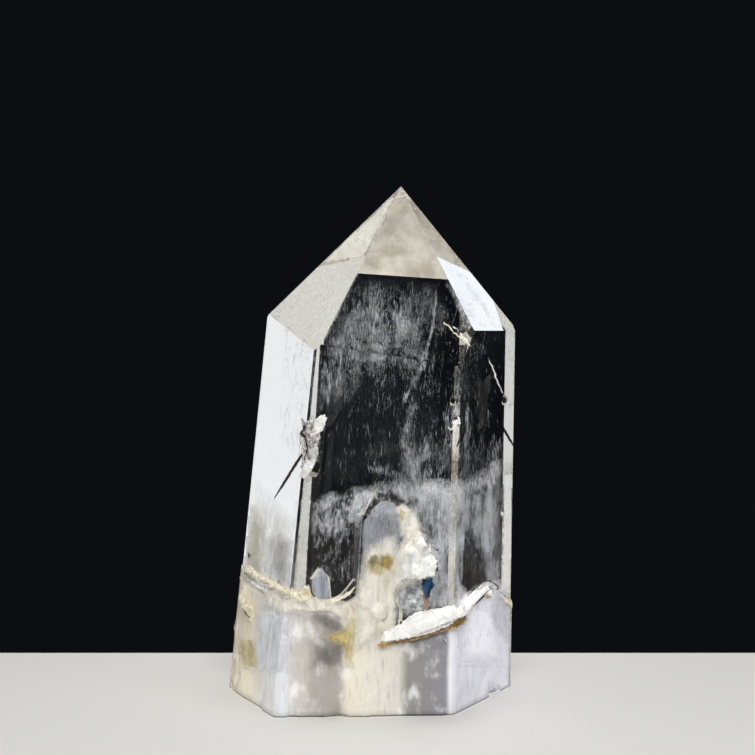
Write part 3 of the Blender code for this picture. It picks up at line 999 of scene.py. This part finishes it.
@dataclass
class Studio:
    """The pale floor, the dark surroundings and the soft lights."""

    floor_front: float = 0.066
    floor_back: float = 0.0195
    floor_side: float = 0.45
    floor_thick: float = 0.012
    floor_gap: float = 0.00005
    aim: Place = (0.002, 0.0, 0.042)
    boxes: tuple[Softbox, ...] = (
        Softbox("right_back_softbox", 43.0, -8.0, 0.60, 0.26, 0.34, 1.05, "#FAFCFF"),
        Softbox("left_low_softbox", -41.0, -31.0, 0.50, 0.16, 0.16, 1.25, "#F2F7FF"),
        Softbox("right_low_softbox", 30.5, -33.5, 0.55, 0.12, 0.097, 0.82, "#F3F0E8"),
        Softbox("left_side_softbox", -95.0, 12.0, 0.60, 0.40, 0.40, 1.2),
        Softbox("right_side_softbox", 118.0, -10.0, 0.60, 0.30, 0.30, 0.75),
        Softbox("left_front_low_softbox", -146.5, -15.0, 0.50, 0.09, 0.14, 0.75),
        Softbox("front_softbox", 180.0, 34.0, 0.42, 0.30, 0.16, 7.6),
        Softbox("right_high_softbox", 122.0, 48.0, 0.45, 0.20, 0.12, 3.0),
        Softbox("top_softbox", 0.0, 80.0, 0.38, 0.24, 0.24, 4.0),
    )

    def build(self, view: View) -> None:
        """Set up the world, the floor, the lights and the camera.

        Args:
            view: The photograph's view.
        """
        scene = bpy.context.scene
        world = bpy.data.worlds.new("dark_room")
        world.use_nodes = True
        world.node_tree.nodes["Background"].inputs["Color"].default_value = linear("#0D0E12")
        scene.world = world
        scene.view_settings.view_transform = "Standard"
        scene.cycles.max_bounces = 24
        scene.cycles.transmission_bounces = 24
        scene.cycles.glossy_bounces = 16
        scene.cycles.transparent_max_bounces = 64
        form = bmesh.new()
        bmesh.ops.create_cube(form, size=1.0)
        size = Vector((2 * self.floor_side, self.floor_front + self.floor_back, self.floor_thick))
        centre = Vector((0.0, (self.floor_back - self.floor_front) / 2, -self.floor_gap - self.floor_thick / 2))
        bmesh.ops.transform(form, matrix=Matrix.Translation(centre) @ Matrix.Diagonal(size.to_4d()), verts=form.verts)
        mesh = bpy.data.meshes.new("floor")
        form.to_mesh(mesh)
        form.free()
        mesh.materials.append(PaleBoard().material())
        floor = bpy.data.objects.new("floor", mesh)
        scene.collection.objects.link(floor)
        for box in self.boxes:
            box.build(Vector(self.aim))
        view.camera()


VEILS = VeilCloud(
    "bubble_veils",
    (
        Veil(((350, 276), (446, 280), (468, 330), (440, 410), (340, 420), (316, 350)), 2000, (4.0, 20.0), soft_px=50.0, length_mm=(0.15, 0.8)),
        Veil(((340, 284), (432, 290), (420, 350), (326, 350)), 1300, (5.0, 16.0), clump_px=4.0, soft_px=24.0),
        Veil(((366, 280), (384, 280), (384, 350), (366, 350)), 450, (6.0, 12.0), clump_px=4.0, soft_px=8.0),
        Veil(((390, 312), (410, 314), (410, 335), (390, 335)), 260, (6.0, 12.0), clump_px=4.0, soft_px=6.0),
        Veil(((312, 350), (356, 350), (350, 405), (316, 410)), 480, (4.0, 14.0), clump_px=5.0),
        Veil(((316, 390), (405, 390), (405, 490), (312, 490)), 240, (4.0, 22.0), clump_px=5.0, soft_px=20.0),
        Veil(
            ((436, 298), (433, 325), (427, 350), (419, 370), (411, 386), (402, 406)),
            520,
            (8.0, 9.0),
            (0.6, 3.0),
            length_mm=(0.3, 0.8),
        ),
        Veil(((416, 402), (408, 420), (404, 436), (408, 455), (416, 472)), 420, (8.0, 11.0), (2.5, 4.0), slant=-0.15),
        Veil(((410, 420), (454, 440), (453, 500), (395, 500)), 560, (6.0, 18.0), clump_px=5.0, soft_px=30.0),
        Veil(
            ((312, 508), (332, 500), (352, 498), (372, 491), (392, 486), (412, 489), (432, 485), (452, 483)),
            1700,
            (5.0, 9.0),
            (4.0, 3.5),
            length_mm=(0.2, 0.7),
            slant=0.5,
            lean=0.25,
        ),
        Veil(((310, 505), (362, 492), (360, 528), (310, 552)), 1300, (5.0, 9.0), clump_px=4.0, slant=0.4, lean=0.3),
        Veil(((400, 488), (453, 484), (452, 575), (432, 575), (405, 530)), 2000, (4.0, 15.0), clump_px=6.0),
        Veil(((312, 535), (354, 535), (350, 590), (310, 592)), 200, (4.0, 16.0), soft_px=5.0),
        Veil(((318, 512), (360, 505), (356, 586), (322, 590)), 520, (3.0, 9.0), clump_px=5.0, soft_px=8.0),
        Veil(((470, 520), (500, 512), (500, 592), (472, 592)), 620, (1.0, 5.0), clump_px=5.0, soft_px=8.0),
        Veil(((370, 470), (385, 470), (400, 480)), 150, (6.0, 8.0), (3.0, 1.5)),
        Veil(((460, 496), (474, 488), (488, 481), (503, 466)), 1000, (4.0, 7.0), (4.0, 4.0), slant=0.3, lean=0.2),
        Veil(((458, 495), (504, 470), (503, 596), (484, 596), (480, 520), (458, 530)), 1200, (4.0, 14.0), clump_px=6.0),
        Veil(((467, 408), (468, 425), (465, 448)), 220, (4.0, 8.0), (1.2, 4.0)),
        Veil(((484, 440), (504, 436), (504, 480), (484, 484)), 320, (4.0, 8.0), clump_px=5.0, soft_px=8.0),
        Veil(((460, 380), (504, 400), (503, 480), (458, 485)), 220, (4.0, 14.0), clump_px=6.0),
        Veil(((462, 336), (504, 336), (504, 400), (462, 400)), 70, (4.0, 16.0)),
    ),
)

# Painted highlights: bright white flecks on the broken rims, the lip, the frosty mass and the bruise, standing in for
# sparkles of light.
PAINTED_SPARKLES = VeilCloud(
    "painted_sparkle_crumbs",
    (
        Veil(((248, 567), (258, 577), (272, 583), (288, 593)), 160, (0.0, 0.3), (2.0, 2.2), length_mm=(0.15, 0.5), width_mm=0.12, lean=0.9),
        Veil(((288, 593), (304, 595), (322, 601), (340, 599), (357, 588)), 120, (0.0, 0.3), (2.0, 1.6), length_mm=(0.1, 0.4), width_mm=0.09, lean=0.9),
        Veil(((398, 590), (410, 578), (424, 570), (434, 560)), 130, (0.0, 0.3), (3.0, 5.0), length_mm=(0.15, 0.6), width_mm=0.12, lean=0.9),
        Veil(((384, 636), (410, 618), (440, 610), (462, 612), (474, 600)), 120, (0.0, 0.3), (3.0, 3.0), length_mm=(0.15, 0.6), width_mm=0.10, lean=0.9),
        Veil(((398, 600), (404, 614), (430, 610)), 60, (0.0, 0.3), (2.0, 3.0), length_mm=(0.1, 0.4), width_mm=0.08, lean=0.9),
        Veil(((304, 430), (312, 440), (304, 470)), 50, (0.0, 0.3), (4.0, 6.0), length_mm=(0.1, 0.4), width_mm=0.08, lean=0.9),
        Veil(((242, 598), (250, 610), (256, 640)), 50, (0.0, 0.3), (3.0, 6.0), length_mm=(0.1, 0.4), width_mm=0.09, lean=0.9),
        Veil(((400, 508), (404, 530), (420, 545)), 40, (0.0, 0.3), (4.0, 5.0), length_mm=(0.1, 0.4), width_mm=0.08, lean=0.9),
    ),
    BubbleVeil("painted_sparkle_white", "#FFFFFA", 0.9),
    seed=11,
)

HAZES = (
    Layer("haze_tip_window", ((322, 300), (350, 276), (440, 280), (452, 312), (436, 362), (390, 392), (318, 400)), BubbleHaze("fine_wisps", opacity=0.13, cloud_mm=3.0, wisp_mm=0.16, tall=10.0, limits=(0.44, 0.68)), 0.05, 9.0, edge_px=34.0, depth_mm=9.0, step_px=3.0),
    Layer("haze_deep", ((316, 366), (380, 360), (446, 372), (454, 420), (455, 472), (390, 484), (314, 494)), BubbleHaze("deep_thin_haze", "#A6AAB8", 0.011, 7.0, limits=(0.15, 0.60)), 0.05, 9.0, edge_px=26.0, depth_mm=12.0, step_px=4.0),
    Layer("haze_left_cloud", ((313, 350), (340, 342), (370, 356), (372, 396), (345, 414), (313, 414)), WHITE_HAZE, 0.05, 9.0, edge_px=18.0, depth_mm=7.0, step_px=2.5),
    Layer("haze_band", ((309, 498), (337, 488), (370, 482), (393, 478), (417, 477), (453, 476), (453, 502), (420, 504), (390, 504), (360, 520), (330, 540), (308, 555)), DENSE_HAZE, 0.05, 7.0, edge_px=12.0, depth_mm=6.0, step_px=2.5),
    Layer("haze_right_column", ((398, 486), (456, 484), (462, 540), (460, 618), (398, 618)), GREY_HAZE, 0.05, 9.0, edge_px=14.0, depth_mm=5.0, step_px=2.5),
    Layer("haze_middle_growing", ((405, 400), (440, 415), (453, 430), (453, 505), (392, 505)), BubbleHaze("thin_growing_haze", opacity=0.36, cloud_mm=2.4), 0.05, 9.0, edge_px=30.0, depth_mm=9.0, step_px=2.5),
    Layer("haze_right_face_band", ((457, 482), (480, 468), (504, 448), (504, 484), (484, 506), (457, 514)), DENSE_HAZE, 0.05, 9.0, edge_px=9.0, depth_mm=5.0, step_px=2.0),
    Layer("haze_right_face", ((458, 500), (504, 480), (503, 618), (490, 618), (486, 590), (481, 560), (474, 544), (465, 532), (457, 524)), GREY_HAZE, 0.05, 9.0, edge_px=10.0, depth_mm=6.0, step_px=2.0),
    Layer("haze_right_face_low", ((455, 575), (470, 590), (506, 575), (508, 668), (455, 668)), LILAC_HAZE, 0.05, 9.0, edge_px=18.0, depth_mm=0.25, step_px=2.0),
    Layer("haze_left_face_streaks", ((284, 322), (313, 342), (306, 470), (276, 440)), STREAKS, 0.05, 9.0, edge_px=8.0, depth_mm=2.0, step_px=2.0),
    Layer("haze_left_face_low", ((254, 470), (298, 520), (292, 604), (238, 596), (246, 520)), CREAM_HAZE, 0.05, 9.0, edge_px=30.0, depth_mm=1.0, step_px=2.0),
    Layer("haze_left_face_warm", ((246, 505), (258, 500), (270, 530), (268, 575), (246, 590), (238, 560)), BubbleHaze("warm_face_tint", "#C6BCA4", 0.55, 5.0, 2.0, 1.5, (0.1, 0.6)), 0.05, 9.0, edge_px=12.0, depth_mm=1.2, step_px=2.0),
    Layer("haze_left_face_smudge", ((262, 538), (280, 530), (297, 540), (297, 596), (276, 590), (262, 572)), BubbleHaze("grey_face_smudge", "#9A9CA0", 0.6, 5.0, 2.0, 1.5, (0.1, 0.6)), 0.05, 9.0, edge_px=14.0, depth_mm=1.4, step_px=2.0),
    Layer("haze_left_tip", ((270, 316), (320, 264), (364, 258), (354, 282), (322, 344)), TIP_CLOUD, 0.05, 9.0, edge_px=3.0, depth_mm=1.0, step_px=2.5),
    Layer("haze_left_tip_high", ((312, 266), (399, 190), (364, 258), (320, 264)), CLEAR_TIP_CLOUD, 0.05, 9.0, edge_px=2.0, depth_mm=0.6, step_px=2.0),
    Layer("haze_right_tip", ((436, 262), (468, 274), (504, 330), (474, 330), (456, 312)), BubbleHaze("thin_tip_wisps", "#C8CCD0", 0.45, 2.4, 0.3, 5.0, (0.46, 0.70)), 0.05, 9.0, edge_px=4.0, depth_mm=0.6, step_px=2.0),
    Layer("haze_parallel_crystal", ((362, 522), (372, 508), (380, 499), (394, 501), (401, 514), (399, 600), (356, 596), (361, 550)), BubbleHaze("grey_crystal_haze", "#A9ACB1", 0.7, 1.4, limits=(0.2, 0.6)), 0.05, 9.0, edge_px=2.0, depth_mm=0.9, step_px=1.6),
    Layer("haze_beside_roof", ((348, 506), (356, 494), (368, 488), (378, 494), (368, 510), (358, 526), (347, 522)), GREY_HAZE, 0.05, 9.0, edge_px=5.0, depth_mm=0.3, step_px=1.5),
    # Painted highlight: a glowing white haze just under the right edge paints the pale strip that the right face shows
    # at a grazing angle.
    Layer("haze_right_edge", ((503.5, 474), (512.5, 474), (512.5, 520), (511, 594), (501.5, 594), (503, 520)), BubbleHaze("painted_right_edge_highlight", "#F1F1F0", 0.72, 2.4, limits=(0.12, 0.42), glow=0.10), 0.05, 9.0, edge_px=1.5, depth_mm=0.15, step_px=1.2),
    # Painted reflection: a pale haze just under the left edge paints the bright strip where the face shows the lit
    # floor through the crystal.
    Layer("haze_left_edge", ((304.5, 482), (311.5, 482), (308.5, 540), (306, 592), (295, 592), (298, 540)), BubbleHaze("painted_left_edge_reflection", "#D6D6D3", 0.50, 2.4, limits=(0.12, 0.42)), 0.05, 9.0, edge_px=1.2, depth_mm=0.15, step_px=1.2),
)

CRUSTS = (
    Layer("parallel_crystal_foot", ((355, 580), (361, 552), (374, 538), (399, 530), (402, 575), (400, 632), (380, 642), (354, 655), (352, 620), (354, 592)), CREAM_CLOUD, 0.0, edge_px=16.0),
    Layer("frosty_skirt", ((384, 566), (398, 540), (414, 530), (430, 546), (436, 566), (428, 582), (408, 590), (396, 602), (386, 584)), CREAM_CLOUD, 0.0, edge_px=12.0, raise_mm=0.05),
    Layer("parallel_crystal_glow", ((357, 592), (362, 574), (375, 568), (396, 566), (399, 590), (396, 626), (376, 636), (358, 640)), CREAM_CLOUD, 0.0, edge_px=10.0, raise_mm=0.05),
    Layer("frosty_mass", ((394, 572), (397, 552), (408, 541), (416, 535), (425, 537), (430, 548), (435, 558), (437, 567), (434, 577), (420, 579), (408, 584), (398, 593), (392, 586)), FROSTY, 0.13, 7.0, edge_px=9.0, raise_mm=0.08),
    Layer("frosty_spot", ((415, 541), (418, 536), (424, 537), (426, 544), (422, 549), (416, 547)), SPLINTERED, 0.6, 4.0, edge_px=2.0),
    Layer("frosty_fibres", ((414, 568), (424, 558), (432, 552), (434, 558), (437, 566), (434, 576), (424, 578), (412, 576)), SPLINTERED, 0.6, 3.0, 2.5, edge_px=2.0),
    Layer("lip_white", ((377, 643), (384, 631), (400, 623), (411, 614), (422, 610), (440, 607), (455, 605), (459, 614), (466, 610), (471, 600), (478, 591), (486, 586), (493, 590), (492, 597), (482, 596), (477, 603), (470, 614), (462, 620), (448, 627), (430, 634), (404, 640)), SPLINTERED, 0.3, 9.0, edge_px=3.0),
    Layer("lip_spikes", ((450, 612), (454, 602), (457, 609), (462, 601), (463, 613), (458, 619)), SPLINTERED, 0.7, 3.0, 2.0, edge_px=1.5),
    Layer("lip_seam", ribbon(((377, 646), (392, 643), (410, 640), (428, 636), (444, 630), (456, 624), (467, 614)), 1.9, 0.6), SEAM, 0.15, 3.0, 1.5, 1.2, slot=Slot.STAIN),
    Layer("lip_seam_deep", ((449, 624), (458, 617), (466, 614), (465, 621), (454, 629)), GrownMass("dark_brown_seam", "#A8843C", "#2C200C", 0.6, ragged=0.5), 0.15, 3.0, edge_px=1.5, raise_mm=0.12, slot=Slot.STAIN),
    Layer("lip_seam_gold", ribbon(((440, 633), (452, 629), (464, 622), (470, 614)), 1.5, 0.4), LIMONITE, 0.1, 3.0, edge_px=1.2, raise_mm=0.16, slot=Slot.STAIN),
    Layer("lip_end_gold", ((376, 643), (386, 640), (393, 643), (386, 649), (377, 648)), LIMONITE, 0.15, 3.0, edge_px=2.0, raise_mm=0.1, slot=Slot.STAIN),
    Layer("lip_end_stain", ((483, 593), (490, 592), (492, 598), (486, 600)), LIMONITE, 0.15, 3.0, edge_px=2.0, raise_mm=0.1, slot=Slot.STAIN),
    Layer("right_corner_milk", ((488, 606), (496, 590), (505, 580), (511, 588), (512, 650), (500, 640), (490, 624)), GrownMass("milky_corner", "#F4F5FA", "#D2D3DC", 2.0, glow=0.08, opacity=0.85, ragged=1.2, rim=(0.0, 1.2)), 0.0, edge_px=10.0, raise_mm=0.05),
    Layer("ochre_spot", ((362, 566), (370, 554), (388, 550), (398, 558), (397, 571), (384, 579), (368, 577)), GOLDEN, 0.0, edge_px=8.0, raise_mm=0.15, slot=Slot.STAIN),
    # Painted shadow: the darker olive patch at the ochre spot's left and top is shade, not stain, though it sits in the
    # stain slot.
    Layer("ochre_spot_shade", ((365, 562), (370, 554), (380, 553), (379, 564), (372, 571)), GrownMass("olive_painted_shade", "#A8A080", "#6E6850", 1.0, opacity=0.65, ragged=1.3, rim=(0.1, 1.2)), 0.0, edge_px=5.0, raise_mm=0.2, slot=Slot.STAIN),
    Layer("ochre_spot_core", ((376, 562), (380, 555), (391, 555), (395, 562), (390, 570), (380, 570)), GrownMass("ochre_core", "#D2B874", "#7E6632", 0.6, glow=0.05, opacity=0.85, ragged=1.2, rim=(0.1, 1.1)), 0.0, edge_px=5.0, raise_mm=0.25, slot=Slot.STAIN),
    Layer("upper_cream", ((394, 506), (403, 502), (414, 508), (424, 524), (424, 540), (408, 546), (398, 536)), CREAM_CLOUD, 0.0, edge_px=9.0, raise_mm=0.02),
    Layer("ochre_fleck", ((397, 510), (402, 506), (407, 512), (405, 522), (400, 526)), GOLDEN, 0.0, edge_px=3.0, raise_mm=0.08, slot=Slot.STAIN),
    Layer("ledge_rim", ribbon(((246, 565), (258, 577), (274, 583), (290, 592), (304, 596), (322, 601), (334, 601), (347, 595), (357, 586)), 2.8, 0.4), CREAM, 0.25, 2.5, 1.0, 2.2),
    Layer("ledge_rim_left", ribbon(((250, 570), (258, 577), (268, 581), (280, 588), (290, 595)), 1.8, 0.3), SPLINTERED, 0.35, 2.0, 1.0, 1.2, raise_mm=0.1),
    Layer("ledge_rim_right", ribbon(((326, 601), (338, 600), (348, 595), (356, 588)), 1.0, 0.3), SPLINTERED, 0.2, 2.0, 1.0, 0.8, raise_mm=0.1, step_px=0.8),
    Layer("ledge_spike", ribbon(((334, 597), (344, 594), (353, 587)), 0.8, 0.3), SPLINTERED, 0.1, 2.0, 1.0, 0.7, step_px=0.6),
    Layer("ledge_rim_gold", ribbon(((288, 593), (297, 596), (308, 595), (318, 600)), 2.0, 0.3), GOLDEN, 0.3, 2.5, 1.0, 1.6, raise_mm=0.15, slot=Slot.STAIN),
    Layer("ledge_lumps", ribbon(((247, 567), (256, 575), (266, 580), (278, 587), (288, 593), (297, 597)), 3.2, 1.4), CREAM, 0.45, 2.0, 1.2, 1.6, raise_mm=0.05),
    Layer("ledge_corner", ((287, 594), (292, 586), (298, 592), (304, 582), (311, 588), (314, 598), (302, 603)), CREAM, 0.2, 3.0, edge_px=3.0, raise_mm=0.12),
    Layer("ledge_cream", ((262, 586), (288, 598), (303, 602), (322, 606), (345, 602), (354, 596), (352, 632), (345, 622), (325, 612), (306, 612), (286, 616), (262, 606)), CREAM_CLOUD, 0.0, edge_px=9.0),
    Layer("ledge_blue_white", ((252, 612), (272, 608), (290, 618), (290, 674), (252, 674)), GrownMass("blue_white_quartz", "#F4F6FA", "#DDE0E6", 1.8, glow=0.08, opacity=0.75, tall=2.0, ragged=1.3, rim=(0.0, 1.3)), 0.0, edge_px=12.0),
    Layer("rusty_thread", ribbon(((273, 623), (274, 634), (273, 646)), 0.9, 0.5), GrownMass("rusty_thread", "#C89A80", "#8A5A48", 0.4, opacity=0.6, ragged=1.6, rim=(0.3, 1.1)), 0.0, edge_px=1.0, raise_mm=0.05, step_px=0.6, slot=Slot.STAIN),
    Layer("bright_growth_edge", ribbon(((287, 602), (287, 630), (286, 664)), 1.0, 0.5), GrownMass("bright_growth_edge", "#F6F8FC", "#D8DCE4", 0.8, glow=0.1, opacity=0.7), 0.0, edge_px=1.2, raise_mm=0.05, step_px=0.7),
    # Partly real, partly painted shade: a smoky grey cloud in the root, whose darkest bit just below the pointed
    # crystal's root paints the shade in a small crack.
    Layer("smoky_dark", ((308, 612), (320, 608), (336, 614), (350, 624), (346, 636), (328, 632), (314, 624)), SMOKE, 0.0, edge_px=7.0, raise_mm=0.05),
    Layer("smoky_low", ((304, 632), (322, 638), (342, 640), (350, 652), (346, 672), (306, 672)), SMOKE, 0.0, edge_px=14.0, raise_mm=0.05),
    Layer("ochre_branch", ((316, 635), (334, 629), (344, 622), (352, 612), (360, 622), (356, 646), (354, 670), (343, 670), (342, 648), (330, 646)), GOLDEN, 0.0, edge_px=7.0, raise_mm=0.1, slot=Slot.STAIN),
    Layer("ochre_branch_core", ((322, 636), (336, 631), (347, 628), (353, 634), (351, 644), (349, 660), (344, 660), (342, 645), (331, 641)), LIMONITE, 0.0, edge_px=5.0, raise_mm=0.16, slot=Slot.STAIN),
    Layer("corner_flap", ((238, 596), (241, 592), (248, 600), (254, 608), (256, 616), (253, 626), (246, 618), (240, 606)), CREAM, 0.3, 4.0, edge_px=2.5),
    Layer("corner_cleft", ((242, 605), (246, 608), (252, 617), (252, 621), (246, 615)), SEAM, 0.15, 3.0, edge_px=1.5, raise_mm=0.2, slot=Slot.STAIN),
    Layer("corner_gold", ((239, 636), (252, 638), (259, 650), (258, 670), (242, 670), (238, 652)), GOLDEN, 0.0, edge_px=6.0, slot=Slot.STAIN),
    Layer("pointed_crystal", ((311, 583), (314, 577), (321, 565), (326, 574), (332, 597), (322, 601), (312, 595)), LILAC, 0.05, 6.0, 3.0, 1.5),
    Layer("pointed_crystal_root", ((307, 597), (325, 598), (327, 609), (312, 612), (306, 605)), CREAM_CLOUD, 0.0, edge_px=3.0, raise_mm=0.15, step_px=1.0),
    Layer("pit_shell", ((398, 588), (408, 582), (420, 579), (432, 577), (433, 590), (430, 606), (420, 612), (404, 614), (397, 604)), PIT_GREY, 0.1, 5.0, edge_px=2.0),
    Layer("pit_blue", ((420, 579), (427, 577), (434, 576), (435, 585), (432, 593), (428, 601), (424, 600), (422, 590)), BLUE_FILM, 0.0, edge_px=3.0, raise_mm=0.15, step_px=0.8),
    Layer("pit_orange", ((422, 594), (430, 595), (430, 612), (424, 613)), ORANGE_FILM, 0.0, edge_px=3.0, raise_mm=0.15),
    Layer("bruise_left_leaf", ((300, 414), (304, 419), (309, 424), (309, 434), (304, 440), (303, 428)), BRUISE, 0.1, 3.0, edge_px=1.2, step_px=0.8),
    Layer("bruise_flap", ((311, 426), (317, 417), (325, 413), (328, 418), (323, 430), (317, 436), (312, 433)), SPLINTERED, 0.2, 4.0, edge_px=1.5),
    Layer("bruise_rough", ((302, 428), (308, 420), (318, 424), (321, 436), (317, 452), (310, 462), (300, 470), (303, 450)), BRUISE, 0.2, 2.5, 1.0, 1.5),
    Layer("bruise_white", ((303, 460), (311, 447), (319, 441), (319, 456), (314, 467), (306, 479), (299, 478)), FROSTY, 0.2, 5.0, edge_px=1.5),
    Layer("bruise_crack", ((302, 452), (303, 456), (296, 467), (289, 478), (280, 492), (271, 503), (278, 490), (286, 477), (293, 465)), CRACK, 0.02, 6.0, edge_px=0.8, step_px=0.6, ragged_px=0.6),
    Layer("bruise_lines", ribbon(((306, 422), (304, 434), (308, 448), (303, 462)), 1.2, 0.4), CRACK, 0.02, 3.0, edge_px=1.0, step_px=0.7, raise_mm=0.3),
    Layer("hook_chip", ((447, 425), (451, 428), (454, 423), (457, 420), (458, 425), (455, 431), (449, 431)), SPLINTERED, 0.3, 3.0, edge_px=1.5),
    Layer("tip_edge_fracture", ribbon(((443, 322), (449, 326), (454, 333), (460, 337), (466, 342), (472, 347)), 1.3, 0.6), CREAM, 0.05, 3.0, edge_px=1.0, step_px=0.7),
    Layer("tip_edge_fracture_strand", ribbon(((446, 324), (454, 327), (460, 333), (466, 340), (471, 346)), 0.8, 0.3), SPLINTERED, 0.05, 3.0, edge_px=0.8, raise_mm=0.05, step_px=0.7),
    Layer("right_face_scratch", ribbon(((487, 356), (493, 368), (498, 383), (503, 393)), 1.0, 0.4), SPLINTERED, 0.03, 3.0, edge_px=0.8, step_px=0.5),
    Layer("left_edge_notch", ribbon(((247, 551), (249, 555), (249, 559)), 1.4, 0.4), CRACK, 0.02, 3.0, edge_px=1.0, step_px=0.6),
    Layer("foot_crack", ribbon(((441, 638), (444, 641), (447, 645)), 1.2, 0.3), CRACK, 0.02, 3.0, edge_px=1.0, step_px=0.6),
)


HIDDEN_SIDES = {
    180.0: (
        Layer("back_rim", ribbon(((250, 640), (257, 652), (284, 664), (330, 664), (370, 667), (420, 664), (449, 656), (461, 630), (470, 606), (486, 588), (496, 576)), 3.2, 0.4), CREAM, 0.25, 2.5, 1.0, 2.2),
        Layer("back_rim_white", ribbon(((290, 662), (318, 662), (350, 664), (372, 666), (404, 664)), 1.8, 0.3), SPLINTERED, 0.3, 2.5, 1.0, 1.4, raise_mm=0.1),
        Layer("back_cloud", ((300, 669), (326, 668), (352, 671), (380, 668), (392, 676), (378, 684), (384, 700), (366, 694), (352, 708), (336, 690), (322, 704), (312, 686)), CREAM_CLOUD, 0.0, edge_px=10.0),
        Layer("back_stain", ((392, 670), (410, 667), (428, 667), (446, 660), (449, 664), (434, 671), (430, 684), (425, 674), (412, 674), (409, 682), (404, 673)), GOLDEN, 0.0, edge_px=3.0, raise_mm=0.06, slot=Slot.STAIN),
        Layer("back_stain_core", ribbon(((396, 669), (410, 668), (428, 667), (445, 660)), 1.3, 0.5), LIMONITE, 0.0, edge_px=0.9, raise_mm=0.12, slot=Slot.STAIN),
        Layer("back_smoke", ((262, 664), (284, 668), (300, 676), (290, 688), (294, 704), (278, 694), (268, 680)), SMOKE, 0.0, edge_px=9.0, raise_mm=0.03),
    ),
    90.0: (
        Layer("right_rim", ribbon(((338, 616), (352, 628), (368, 640), (390, 655), (415, 664), (440, 666), (470, 660), (484, 654)), 3.0, 0.4), CREAM, 0.25, 2.5, 1.0, 2.2),
        Layer("right_rim_white", ribbon(((376, 646), (394, 657), (414, 664), (432, 665)), 1.8, 0.3), SPLINTERED, 0.3, 2.5, 1.0, 1.4, raise_mm=0.1),
        Layer("right_stain", ((408, 667), (424, 668), (446, 668), (462, 664), (466, 668), (450, 674), (446, 690), (440, 676), (424, 673)), GOLDEN, 0.0, edge_px=3.0, raise_mm=0.06, slot=Slot.STAIN),
    ),
    240.0: (
        Layer("left_rim", ribbon(((318, 658), (338, 646), (358, 626), (378, 611), (400, 603), (430, 600), (452, 599)), 3.0, 0.4), CREAM, 0.25, 2.5, 1.0, 2.2),
        Layer("left_rim_white", ribbon(((344, 640), (360, 624), (378, 611), (396, 604)), 1.6, 0.3), SPLINTERED, 0.3, 2.5, 1.0, 1.2, raise_mm=0.1),
        Layer("left_frost", ((384, 612), (412, 606), (440, 604), (450, 612), (438, 626), (416, 622), (408, 640), (396, 628)), CREAM_CLOUD, 0.0, edge_px=9.0),
        Layer("left_stain", ((366, 622), (380, 612), (400, 606), (420, 603), (424, 607), (404, 614), (400, 632), (396, 650), (392, 630), (382, 622), (370, 628)), GOLDEN, 0.0, edge_px=3.5, raise_mm=0.06, slot=Slot.STAIN),
        Layer("left_stain_core", ribbon(((368, 623), (382, 613), (400, 606), (418, 603)), 1.3, 0.5), LIMONITE, 0.0, edge_px=0.9, raise_mm=0.12, slot=Slot.STAIN),
        Layer("left_smoke", ((300, 668), (326, 656), (356, 654), (372, 668), (366, 694), (338, 706), (312, 696)), SMOKE, 0.0, edge_px=22.0, raise_mm=0.03),
    ),
}


def main() -> None:
    """Build the quartz point and its studio."""
    logging.basicConfig(level=logging.INFO, format="%(name)s: %(message)s")
    view = View()
    Studio().build(view)
    pieces = [CrystalBody().build(), Root().build(view), VEILS.build(view), PAINTED_SPARKLES.build(view)]
    pieces += [layer.build(view) for layer in (*HAZES, *CRUSTS)]
    for heading, layers in HIDDEN_SIDES.items():
        side = View(heading=heading)
        pieces += [layer.build(side) for layer in layers]
    for piece in pieces:
        LOG.info("%s: %d faces", piece.name, len(piece.data.polygons))


if __name__ == "__main__":
    main()
